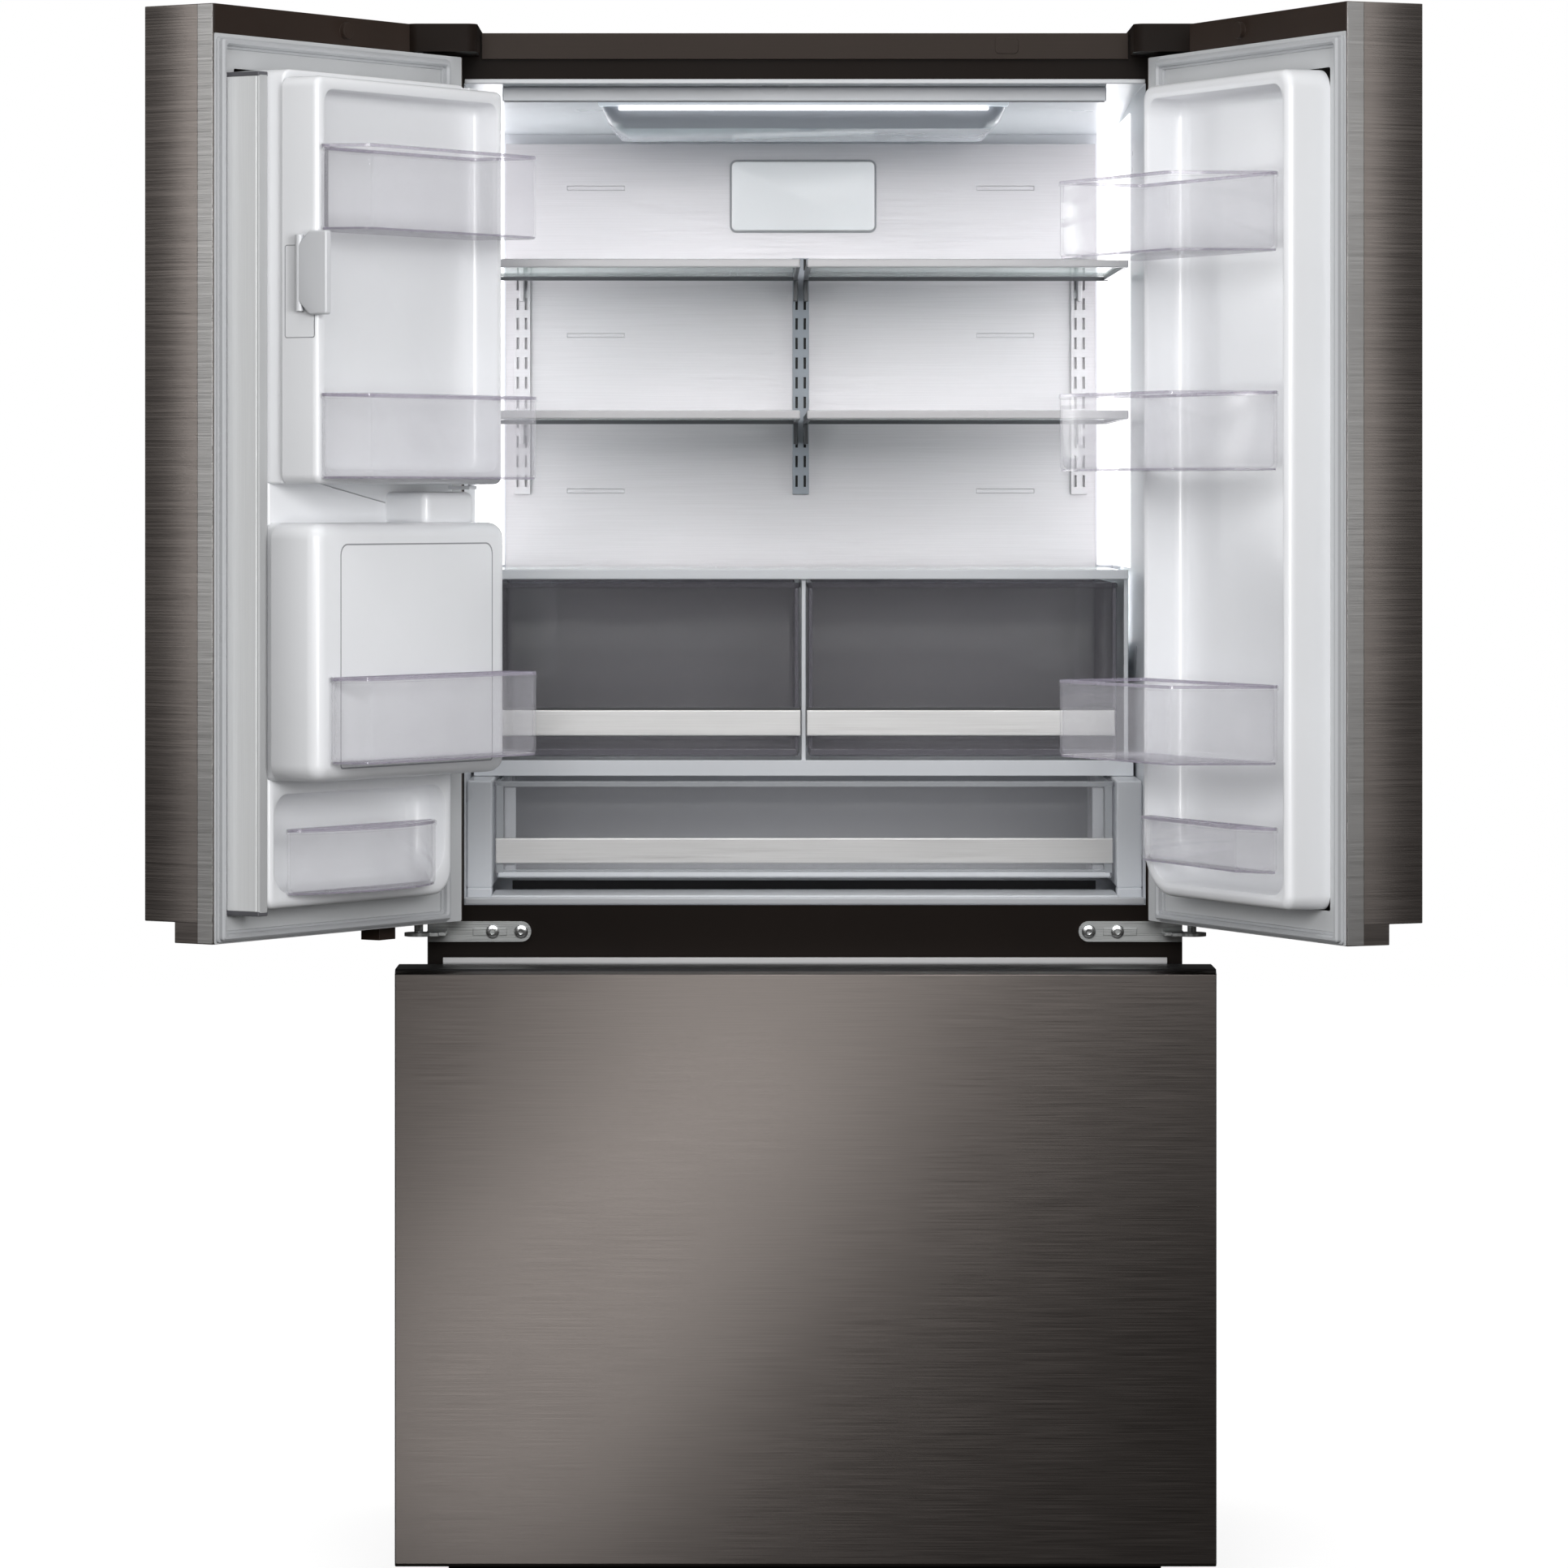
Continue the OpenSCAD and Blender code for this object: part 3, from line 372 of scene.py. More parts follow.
def rounded(points, radii, steps=6):
    """A closed outline with its corners turned into arcs; radii is one number or one for each corner."""
    count = len(points)
    if isinstance(radii, (int, float)):
        radii = [radii] * count
    out = []
    for i, p in enumerate(points):
        p = Vector(p)
        before = Vector(points[i - 1]) - p
        after = Vector(points[(i + 1) % count]) - p
        r = radii[i]
        if r == 0:
            out.append(tuple(p))
            continue
        angle = before.angle(after)
        reach = min(r / math.tan(angle / 2), before.length * 0.49, after.length * 0.49)
        r = reach * math.tan(angle / 2)
        start = p + before.normalized() * reach
        end = p + after.normalized() * reach
        centre = p + (before.normalized() + after.normalized()).normalized() * (r / math.sin(angle / 2))
        a = math.atan2(start.y - centre.y, start.x - centre.x)
        b = math.atan2(end.y - centre.y, end.x - centre.x)
        sweep = (b - a + math.pi) % (2 * math.pi) - math.pi
        for k in range(steps + 1):
            t = a + sweep * k / steps
            out.append((centre.x + r * math.cos(t), centre.y + r * math.sin(t)))
    return out


def inset(points, distance):
    """The same outline moved inwards by distance; the outline runs anticlockwise or clockwise."""
    count = len(points)
    area = sum(points[i][0] * points[(i + 1) % count][1] - points[(i + 1) % count][0] * points[i][1]
               for i in range(count))
    side = 1 if area > 0 else -1
    out = []
    for i in range(count):
        a, b, c = Vector(points[i - 1]), Vector(points[i]), Vector(points[(i + 1) % count])
        d1 = (b - a).normalized()
        d2 = (c - b).normalized()
        n1 = Vector((-d1.y, d1.x)) * side
        n2 = Vector((-d2.y, d2.x)) * side
        n = n1 + n2
        scale = distance * 2 / max(n.length_squared, 0.3)
        out.append(tuple(b + n * scale))
    return out


def stack(levels, close_low=True, close_high=True):
    """Verts and faces through a list of (height, outline) with equal counts."""
    verts, faces = [], []
    count = len(levels[0][1])
    for height, outline in levels:
        verts += [(x, y, height) for x, y in outline]
    for k in range(len(levels) - 1):
        for i in range(count):
            j = (i + 1) % count
            faces.append((k * count + i, k * count + j, (k + 1) * count + j, (k + 1) * count + i))
    if close_low:
        faces.append(tuple(range(count))[::-1])
    if close_high:
        faces.append(tuple(range((len(levels) - 1) * count, len(levels) * count)))
    return verts, faces


def closed_loop(rings):
    """Verts and faces through rings of equal counts whose last one joins the first."""
    verts, faces = stack(rings, False, False)
    count = len(rings[0][1])
    last = (len(rings) - 1) * count
    faces += [(i, (i + 1) % count, last + (i + 1) % count, last + i)[::-1] for i in range(count)]
    return verts, faces


BIN_STEPS = 5
RIM_DEPTH = 6
RIM_BULGE = 1.2


def vessel(name, outline, z0, z1, wall, radius, mat, matrix, body, foot):
    """An open bin on a plan outline, with round corners, a rounded foot and a thicker rim."""
    base = rounded(outline, radius, BIN_STEPS)
    bulge = inset(base, -RIM_BULGE)
    outer = [(z0, inset(base, foot)), (z0 + foot * 0.3, inset(base, foot * 0.3)), (z0 + foot, base),
             (z1 - RIM_DEPTH, base), (z1 - RIM_DEPTH + 1, bulge), (z1 - 0.8, bulge), (z1, inset(base, 0.2))]
    inner = [(z1, inset(base, wall - 0.2)), (z1 - 0.8, inset(base, wall)),
             (z0 + foot + wall, inset(base, wall)), (z0 + wall + foot * 0.3,
                                                     inset(base, wall + foot * 0.4)),
             (z0 + wall, inset(base, wall + foot))]
    verts, faces = stack(outer + inner)
    return make_object(name, verts, faces, mat, matrix, body, angle=40)


def loop_bar(name, outline, z, height, thick, radius, mat, matrix, body):
    """A flat band that follows a plan outline, for the rims of bins."""
    base = rounded(outline, radius, BIN_STEPS)
    rings = [(z, base), (z + height, base), (z + height, inset(base, thick)), (z, inset(base, thick))]
    verts, faces = closed_loop(rings)
    return make_object(name, verts, faces, mat, matrix, body, angle=40)


TURNED_SIDES = 24


def disc(name, centre, axis, profile, mat, body):
    """A turned piece about an axis through centre: profile is a list of (radius, height) in millimetres."""
    z = Vector(axis).normalized()
    x = z.orthogonal().normalized()
    y = z.cross(x)
    count = TURNED_SIDES
    verts, faces = [], []
    for r, h in profile:
        for i in range(count):
            t = 2 * math.pi * i / count
            verts.append((Vector(centre) + (x * math.cos(t) + y * math.sin(t)) * r + z * h)[:])
    for k in range(len(profile) - 1):
        for i in range(count):
            j = (i + 1) % count
            faces.append((k * count + i, k * count + j, (k + 1) * count + j, (k + 1) * count + i))
    faces.append(tuple(range(count))[::-1])
    faces.append(tuple(range((len(profile) - 1) * count, len(profile) * count)))
    return make_object(name, verts, faces, mat, WORLD, body, angle=35)


# How an outline stands: lying as drawn, upright and facing the front, or upright and facing sideways
FLAT = Matrix.Identity(4)
UP = Matrix(((1, 0, 0, 0), (0, 0, 1, 0), (0, 1, 0, 0), (0, 0, 0, 1)))
SIDE = Matrix(((0, 0, 1, 0), (1, 0, 0, 0), (0, 1, 0, 0), (0, 0, 0, 1)))


def rect(a0, a1, z0, z1, radius, steps=6):
    """A rectangle with round corners, from a0 to a1 and from z0 to z1."""
    return rounded([(a0, z0), (a1, z0), (a1, z1), (a0, z1)], radius, steps)


def lofted(name, levels, mat, matrix, body, close_low=True, turn=UP):
    """A piece through a list of (depth, outline), upright by default."""
    verts, faces = stack(levels, close_low)
    return make_object(name, verts, faces, mat, matrix @ turn, body, angle=45)


def slab(outline, b0, b1, edge):
    """Levels of a slab from b0 to b1 whose edge at b1 is rounded."""
    sign = 1 if b1 > b0 else -1
    return [(b0, outline), (b1 - sign * edge, outline), (b1 - sign * edge * 0.62,
                                                         inset(outline, edge * 0.08)),
            (b1 - sign * edge * 0.29, inset(outline, edge * 0.29)),
            (b1 - sign * edge * 0.08, inset(outline, edge * 0.62)), (b1, inset(outline, edge))]


def dish(name, outer, inner, back, front, floor, edge, lip, cove, mat, matrix, body):
    """A raised rim with rounded shoulders around a hollow whose floor meets it in a cove."""
    levels = slab(outer, back, front, edge)
    levels += [(front, inset(inner, -lip)), (front - lip * 0.29, inset(inner, -lip * 0.29)),
               (front - lip, inner), (floor + cove, inner), (floor + cove * 0.55,
                                                             inset(inner, cove * 0.1)),
               (floor + cove * 0.2, inset(inner, cove * 0.4)), (floor, inset(inner, cove))]
    return lofted(name, levels, mat, matrix, body)


def ring(name, outer, inner, b0, b1, mat, matrix, body, edge, turn=UP):
    """A flat ring between two outlines of equal counts."""
    sign = 1 if b1 > b0 else -1
    rings = [(b0, outer), (b1 - sign * edge, outer), (b1, inset(outer, edge)), (b1, inset(inner, -edge)),
             (b1 - sign * edge, inner), (b0, inner)]
    verts, faces = closed_loop(rings)
    return make_object(name, verts, faces, mat, matrix @ turn, body, angle=40)


def prism(name, profile, x0, x1, mat, body, bevel):
    """A profile of (y, z) drawn out along X."""
    verts, faces = stack([(x0, profile), (x1, profile)])
    return make_object(name, verts, faces, mat, WORLD @ SIDE, body, bevel)


def replace(node, *pieces):
    """Shows the pieces in place of a CAD node."""
    for piece in pieces:
        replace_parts(piece, node)


# ------------------------------------------------------------ nodes that keep their CAD shape

for node, mat in {
    "cabinet_foam": "foam", "evaporator": "fins", "compressor": "enamel", "condenser": "lacquer",
    "condenser_fan": "roller", "machine_base": "zinc", "fixed_rails": "zinc", "moving_rails": "zinc",
    "rear_rollers": "roller", "leveling_feet": "roller", "water_inlet": "brass", "machine_cover": "board",
    "upper_hinges": "hinge", "toe_grille": "black",
}.items():
    dress(node, mat)

for node, mat, bevel in (("outer_case", "case", 1.0), ("back_panel", "zinc", 0.6),
                         ("front_frame", "trim", 0.4), ("freezer_liner", "white", 1.0),
                         ("freezer_basket", "white", 1.5), ("rear_wall_panel", "rear", 0.5),
                         ("hinge_covers", "trim", 1.8), ("top_trim", "trim_top", 0.6),
                         ("shelf_panes", "glass", 0.4), ("crisper_cover", "glass", 0.4),
                         ("fridge_liner", "white", 0.8), ("freezer_front", "skin", 1.2),
                         ("left_door_skin", "skin_lit_copy", 0.8), ("right_door_skin", "skin_lit_copy", 0.8),
                         ("left_door_caps", "trim", 0.8), ("right_door_caps", "trim", 0.8),
                         ("freezer_inner_panel", "flange", 0.6), ("dispenser_housing", "dispenser", 0.5),
                         ("dispenser_paddle", "paddle", 0.6), ("ice_maker", "lamp", 2.0),
                         ("freezer_gasket", "gasket", 1.2), ("crisper_frame", "white_cool", 1.0),
                         ("lower_hinges", "hinge", 0.5)):
    refined(node, mat, bevel)

# The outer uprights are finished like the wall behind them
ladders = refined("shelf_ladders", "ladder", 0.3)
ladders.data.materials.append(MATS["rear"])
for polygon in ladders.data.polygons:
    if abs(polygon.center.x) > 100 * MM:
        polygon.material_index = 1


# ------------------------------------------------------------ case details

def screw(name, centre, axis):
    """Button head with a hex recess."""
    head = [(7.8, 0), (7.8, 0.8), (6.9, 1.9), (5.0, 2.4), (3.2, 2.5)]
    recess = [(2.8, 2.2), (2.7, 1.1), (0.4, 1.0)]
    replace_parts(disc(name, centre, axis, head + recess, "screw", "cabinet"), "hinge_screws")


def case_details():
    """Hinge screws, the pressed ribs of the lower hinges, and the cap and strip of the freezer drawer."""
    for side in (-1, 1):
        for i, x in enumerate((350, 318)):
            screw(f"front_screw_{side + 1}_{i}", (side * x, -4.1, 755.5), (0, -1, 0))
        for i, x in enumerate((412, 386)):
            screw(f"top_screw_{side + 1}_{i}", (side * x, 50, 1762.1), (0, 0, 1))
        low, high = sorted((side * 372, side * 334))
        case_boxes(f"hinge_rib_{side + 1}", [((low, -5.2, 751), (high, -3.9, 760))], "hinge",
                   1.2)
    # Dark cap along the top bevel of the drawer
    outside = [(-101.0, DRAWER_TOP - 5.55), (-92.2, DRAWER_TOP), (-16, DRAWER_TOP)]
    inside = [(-16, DRAWER_TOP - 0.55), (-91.9, DRAWER_TOP - 0.55), (-100.7, DRAWER_TOP - 6.05)]
    prism("drawer_cap", outside + inside, -DRAWER_HALF, DRAWER_HALF, "black", "freezer_drawer",
          0.15)
    boxes("drawer_strip", [((-405.2, -14.0, 721), (405.2, -9.8, 727.2))], "strip", WORLD, "freezer_drawer",
          0.6)


def ceiling_lamp():
    """Bright strip and side columns, and the sloping lamp housing with its rounded lower corners."""
    strip = case_boxes("ceiling_led", [((-213, 186, 1687.6), (213, 195.6, 1692))], "led", 1.5)
    deep = mirrored((362, 601, 1160), (CAVITY_HALF - 0.2, 640.6, 1690))
    thin = mirrored((CAVITY_HALF - 1.6, 290, 1160), (CAVITY_HALF - 0.1, 601, 1690))
    columns = case_boxes("side_leds", deep + thin, "led_side", 0.6)
    replace("light_lenses", strip, columns)
    top = rect(-232, 232, 196, 500, 14)
    low = rounded([(-226, 205), (226, 205), (222, 492), (-222, 492)], 20)
    shell = lofted("lamp_shell", [(1704, top), (1690, top), (1676, low), (1668, inset(low, 8))], "lamp",
                   WORLD, "cabinet", turn=FLAT)
    bezel = ring("ceiling_bezel", rect(-CEILING_HALF, CEILING_HALF, 60, 600, 8),
                 rect(1.4 - CEILING_HALF, CEILING_HALF - 1.4, 61.4, 598.6, 7), CAVITY_TOP, CAVITY_TOP - 1.4,
                 "line", WORLD, "cabinet", 0.2, turn=FLAT)
    # The lamp's front and a small block at the ceiling's front glow faintly: the front as the lamp's diffuser
    # does, and both also as painted light, since the lamps leave them in shade
    shade = case_boxes("lamp_front", [((-236, 187, 1692.4), (236, 204, CAVITY_TOP - 1)),
                                      ((-28, 120, 1698), (28, 150, CAVITY_TOP - 0.4))],
                       "diffuser_painted_glow", 2.0)
    replace("ceiling_light", shell, bezel, shade)


def rear_wall():
    """Filter cover with its outline, what closes the slots of the wall, and a black sheet behind the middle
    upright's slots that paints shade in them.
    """
    outline = rect(-84, 90, 1568, 1652, 6)
    cover = lofted("filter_cover", slab(outline, FILTER_FRONT + 4.8, FILTER_FRONT, 1.6), "filter", WORLD,
                   "cabinet")
    line = ring("filter_line", inset(outline, -2.6), inset(outline, -0.6), 636.1, 634.2, "line", WORLD,
                "cabinet", 0.2)
    replace("air_filter_cover", cover, line)
    guides = [((x - 34.8, 636.5, z - 2.3), (x + 34.8, 638, z + 2.3)) for x in (-250, 250)
              for z in (1620, 1440, 1250)]
    case_boxes("air_guides", guides, "rear", 0.1)
    # A black sheet behind the middle upright's slots: painted shade
    case_boxes("ladder_slot_shade", [((-9.6, 635.3, 1246.4), (9.6, 635.9, 1533.6))], "black", 0.1)


def ceiling_panel():
    """Front of the dropped part of the ceiling, with the gap below it."""
    case_boxes("ceiling_drop", [((-CEILING_HALF, 56, 1689.5), (CEILING_HALF, 64, CAVITY_TOP - 0.2))], "white",
               1.2)
    case_boxes("ceiling_gap", [((2 - CEILING_HALF, 57, 1688.6), (CEILING_HALF - 2, 63, 1689.4))], "line",
               0.2)


def shelves():
    """The half shelves' front trims, their rails, and the hooks that hold them to the uprights."""
    trims, rails, ends = [], [], []
    for z in SHELF_TOPS:
        for x0, x1, hooks in ((-SHELF_OUTER_X, -SHELF_INNER_X, (-340, -6.5)),
                              (SHELF_INNER_X, SHELF_OUTER_X, (6.5, 340))):
            trims.append(((x0, SHELF_FRONT, z - 9), (x1, SHELF_FRONT + 8, z + 1)))
            rails.append(((x0, SHELF_BACK - 12, z - 9), (x1, SHELF_BACK, z - 4.6)))
            for x in (x0, x1 - 5):
                rails.append(((x, SHELF_FRONT + 8, z - 9), (x + 5, SHELF_BACK - 12, z + 1)))
            for x in hooks:
                group = ends if abs(x) > 100 else rails
                group.append(((x - 2.5, SHELF_BACK, z - 34), (x + 2.5, SHELF_BACK + 15.6, z - 4.6)))
    trim = case_boxes("shelf_trims", trims, "shelf_trim", 1.8)
    rail = case_boxes("shelf_rails", rails, "rail", 0.8)
    hook = case_boxes("shelf_end_hooks", ends, "rear", 0.8)
    replace("shelf_frames", trim, rail, hook)


def crisper(side, x0, x1, pull_from, pull_to):
    """A tinted tub with its rim, the bright edges of its front, and the pull with a dark lip."""
    body, y = side + "_crisper", CRISPER_FRONT
    outline = [(x0, y), (x1, y), (x1, CRISPER_BACK), (x0, CRISPER_BACK)]
    tub = vessel("crisper_tub_" + side, outline, CRISPER_FOOT, CRISPER_TOP, 3, 9, "smoke", WORLD, body,
                 5)
    rim = loop_bar("crisper_rim_" + side, outline, CRISPER_TOP - 6, 6.2, 4.5, 9, "smoke_edge", WORLD, body)
    low, high = CRISPER_FOOT + 9, CRISPER_TOP - 6
    edges = [((x0 + 3, y - 0.1, CRISPER_FOOT + 2), (x1 - 3, y + 4, low)),
             ((x0 + 1, y - 0.1, low), (x0 + 5, y + 4, high)),
             ((x1 - 5, y - 0.1, low), (x1 - 1, y + 4, high))]
    foot = boxes("crisper_foot_" + side, edges, "smoke_edge", WORLD, body, 1.0)
    replace("crisper_" + side, tub, rim, foot)
    pull = boxes("crisper_pull_" + side, [((pull_from, y - 6, 968), (pull_to, y - 0.2, 998))], "pull",
                 WORLD, body, 1.4)
    lip = boxes("crisper_lip_" + side, [((pull_from + 0.5, y - 4.6, 998.2), (pull_to - 0.5, y - 0.4, 1001))],
                "rail", WORLD, body, 0.5)
    replace("crisper_" + side + "_trim", pull, lip)


def pantry_boxes(name, parts, mat, bevel):
    """Rounded blocks that belong to the pantry tub."""
    return boxes(name, parts, mat, WORLD, "pantry", bevel)


def pantry():
    """The wide clear tub, thick at its edges, and its pull."""
    x, y = PANTRY_HALF, PANTRY_FRONT
    outline = [(-x, y), (x, y), (x, PANTRY_BACK), (-x, PANTRY_BACK)]
    tub = vessel("pantry_tub", outline, PANTRY_FOOT, PANTRY_TOP, 5, 12, "pantry", WORLD, "pantry",
                 6)
    rim = loop_bar("pantry_rim", outline, PANTRY_TOP - 6, 6, 7, 12, "pantry_edge", WORLD, "pantry")
    base = pantry_boxes("pantry_base", [((3 - x, y + 1, 809.4), (x - 3, PANTRY_BACK - 4, 812))],
                        "pantry_edge", 0.8)
    sides = pantry_boxes("pantry_sides", mirrored((x - 10, y - 0.1, 815), (x - 2, y + 4, 914))
                         + [((2 - x, y - 0.1, 817), (x - 2, y + 2, 819))], "pantry_edge", 0.8)
    inner = pantry_boxes("pantry_inner", mirrored((x - 24, y + 6, 815), (x - 11, y + 10, 912))
                         + [((4 - x, y, 810.5), (x - 4, y + 4, 816.5))], "white_cool", 1.5)
    replace("pantry_drawer", tub, rim, base, sides, inner)
    pull = boxes("pantry_pull", [((1 - x, y - 6, 826), (x - 1, y - 0.2, 855))], "pull", WORLD, "pantry",
                 1.4)
    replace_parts(pull, "pantry_trim")


def cavity_mouth():
    """Rail covers with a step at their foot, the lips of the mouth, the floor's front and a near-black band
    of painted shade behind it.
    """
    low, high = PANTRY_HALF + 1.2, CAVITY_HALF - 0.2
    walls = mirrored((low, 62, 800), (high, PANTRY_BACK, 921.6))
    steps = mirrored((low, 62, SILL_FOOT + 0.1), (high, 90, 801))
    covers = case_boxes("rail_covers", walls + steps, "white_cool", 2.5)
    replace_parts(covers, "pantry_side_covers")
    # A near-black band behind the floor's front: painted shade
    case_boxes("painted_shade_band", [((-332, 112, 795.8), (332, 114, 806))], "painted_shade", 0.4)
    x = CAVITY_HALF - 0.4
    case_boxes("head_lip", [((-x, -0.5, CAVITY_TOP - 0.6), (x, 3, 1711))], "white", 1.2)
    case_boxes("floor_front", [((-PANTRY_HALF, 9.2, SILL_FOOT + 0.3), (PANTRY_HALF, 111, 795.5))],
               "white_cool", 1.5)
    case_boxes("sill", [((-high, 3.6, SILL_FOOT), (high, 9, 793.5))], "white", 2.2)


# ------------------------------------------------------------ doors


def clear_bin(name, outline, z0, z1, matrix, body, radius=11, wall=3, foot_round=5):
    """A clear door bin with a denser rim and base."""
    tub = vessel(name + "_tub", outline, z0, z1, wall, radius, "bin", matrix, body, foot_round)
    rim = loop_bar(name + "_rim", outline, z1 - 3.4, 3.5, 3.6, radius, "bin_edge", matrix, body)
    base = inset(rounded(outline, radius, BIN_STEPS), 1.6)
    foot = lofted(name + "_foot", [(z0 + 0.3, base), (z0 + 2.6, base)], "bin_edge", matrix, body,
                  turn=FLAT)
    return tub, rim, foot


def gasket_ring(x0, x1, inward, radius):
    """The gasket's outline, moved inwards by so many millimetres."""
    return rect(x0 + inward, x1 - inward, DOOR_FOOT + 0.5 + inward, 1727 - inward, radius)


def door_common(side, matrix):
    """The flange, the gasket, the bowed steel of the free edge and its brighter return; gives the flange."""
    body = side + "_door"
    flange = ring("flange_" + side, rect(2.7, 448.3, DOOR_FOOT - 0.8, 1731, 2),
                  rect(36, 373, 806, 1695, 2), -1.5, 0.12, "flange", matrix, body, 0.05)
    base = ring("gasket_base_" + side, gasket_ring(5, 420, 0, 4), gasket_ring(5, 420, 12, 2), 0.2, 3.2,
                "gasket", matrix, body, 0.6)
    bead = ring("gasket_bead_" + side, gasket_ring(5, 420, 2, 4), gasket_ring(5, 420, 9, 3), 3.0, 9.3,
                "gasket", matrix, body, 2.2)
    replace(side + "_door_gasket", base, bead)
    # The bow is half a sine wave, from 90.6 to 20.6 mm in front of the flange
    steps = 12
    bow = [(-1.5 * math.sin(math.pi * k / steps) - 0.05, -90.6 + 70 * k / steps) for k in range(steps + 1)]
    profile = bow + [(1.0, -20.6), (1.0, -90.6)]
    verts, faces = stack([(794.0, profile), (DOOR_TOP, profile)])
    # The bowed edge takes the lighter copy of the black stainless, painted light on the door's side
    make_object("edge_skin_" + side, verts, faces, "skin_lit_copy", matrix, body, angle=40)
    boxes("edge_band_" + side, [((-0.4, -20, DOOR_FOOT), (1.5, -0.4, DOOR_TOP))], "edge_band", matrix, body,
          0.3)
    return flange


def left_liner(flange):
    """The left door's liner: low recess, dispenser block, chute neck, plinth, ice room walls and lid lugs."""
    m, end = LEFT, DOOR_PAD_END

    def white(name, levels, close_low=True):
        return lofted(name, levels, "white_door", m, "left_door", close_low)

    def white_boxes(name, parts, bevel):
        return boxes(name, parts, "white_door", m, "left_door", bevel)

    low = dish("low_recess", rect(38, end, DOOR_PAD_FOOT, 952, [12, 30, 10, 10], 8),
               rect(50, 355, 824, 927, [24, 40, 22, 22], 8), 0, 45, 6, 8, 4, 20, "white_door", m, "left_door")
    root = rect(38, end, 943, 1215, 6)
    face = rect(26, end, 943, 1215, 18)
    shell = white("dispenser_block", [(0.1, root), (56, root), (56.1, inset(face, 1))] + slab(face, 58,
                                                                                              118, 15),
                  False)
    cover = ring("block_cover_line", rect(66, 342, 956, 1193, [4, 4, 12, 12]),
                 rect(67.6, 340.4, 957.6, 1191.4, [3, 3, 11, 11]), 117.6, 118.15, "line", m, "left_door",
                 0.1)
    neck = white_boxes("chute_neck", [((245, 30, 1211), (335, 100, 1248))], 9)
    plinth = white("mid_plinth", slab(rect(38, end, 1211, 1275, 3), 0, 45, 4))
    room = dish("ice_room_walls", rect(38, end, 1256, DOOR_PAD_TOP, [3, 3, 14, 14]),
                rect(50, 357, 1272, 1668, 12), -62, 63.6, -60, 3, 2, 6, "white_door", m, "left_door")
    lugs = white_boxes("lid_lugs", [((360, 44, z), (375, 74, z + 4)) for z in (1250.5, 1685.5)], 1)
    replace("left_door_liner", flange, low, shell, cover, neck, plinth, room, lugs)


def ice_room_lid():
    """The lid with its pins and the outline of the unlock mark, and the latch on its pivot."""
    m, body = LEFT, "ice_room_lid"
    lid = dish("ice_lid", rect(34, DOOR_PAD_END, 1256, 1684, [10, 8, 8, 12]), rect(48, 360, 1270, 1670, 14),
               65.6, 112, 80, 7, 3, 9, "white_door", m, body)
    pins = boxes("lid_pins", [((368, 66, 1250.8), (372, 70, 1257)), ((368, 66, 1683), (372, 70, 1689.2))],
                 "white_door", m, body, 0.8)
    mark = ring("lid_mark", rect(69, 108.5, 1409, 1507, 3), rect(70, 107.5, 1410, 1506, 2), 34.2, 33.85,
                "line", m, body, 0.1, turn=SIDE)
    replace("ice_room_door", lid, pins, mark)
    outline = rounded([(92, 1448), (107, 1433), (130, 1433), (130, 1521), (107, 1521), (92, 1506)],
                      [5, 5, 3, 3, 5, 5])
    latch = lofted("latch_look", slab(outline, 33, 25, 2.2), "latch", m, "ice_room_latch",
                   turn=SIDE)
    pivot = disc("latch_pivot", (m @ Vector((29, 92, 1437))) / MM, (0, 0, 1), [(4.5, 0), (4.5, 80)], "latch",
                 "ice_room_latch")
    replace("ice_latch", latch, pivot)


def left_bins():
    """Two bins on the lid and two on the door."""
    # The lid's upper bin drops into its hollow and widens in front of its rim; the lower one hangs on the rim
    low = [(34, 112.8), (55, BIN_FRONT), (362, BIN_FRONT), (368, 112.8)]
    high = [(51, 84), (355, 84), (355, 111.5), (368, 114), (362, BIN_FRONT), (55, BIN_FRONT), (34, 114),
            (51, 111.5)]
    pieces = clear_bin("ice_bin_0", low, 1261, 1351, LEFT, "ice_room_lid", [6, 11, 11, 6], 2.4, 3.4)
    pieces += clear_bin("ice_bin_1", high, 1522, 1612, LEFT, "ice_room_lid", [9, 9, 3, 5, 11, 11, 5, 3],
                        2.4, 2.4)
    replace("ice_door_bins", *pieces)
    big = [(38, 118.8), (52, BIN_FRONT), (362, BIN_FRONT), (368, 118.8)]
    pieces = clear_bin("left_big_bin", big, 962, 1053, LEFT, "left_door")
    # The small bin's front is a flattened half wave
    steps = 16
    small = [(58 + 272 * k / steps, 46 + 44 * math.sin(math.pi * k / steps) ** 0.6) for k in range(steps + 1)]
    pieces += clear_bin("left_small_bin", small, 821, 891, LEFT, "left_door", [6] + [0] * (steps - 1) + [6])
    replace("left_door_bins", *pieces)


def folded_mullion():
    """The bar between the doors, folded back along the left door's free edge."""
    def bar(name, parts, mat, bevel):
        return boxes(name, parts, mat, LEFT, "mullion_bar", bevel)

    core = bar("mullion_core", [((20.8, 0.4, 803), (37, 45, 1688))], "mullion_grey", 2.5)
    face = bar("mullion_face", [((20, 3.2, 806), (21.6, 42.2, 1685))], "grey_plate", 0.6)
    caps = bar("mullion_caps", [((20.1, 0.6, 801), (36.8, 44.8, 806.2)),
                                ((20.1, 0.6, 1685), (36.8, 44.8, 1690))], "dark_grey", 1.0)
    replace("mullion", core, face, caps)


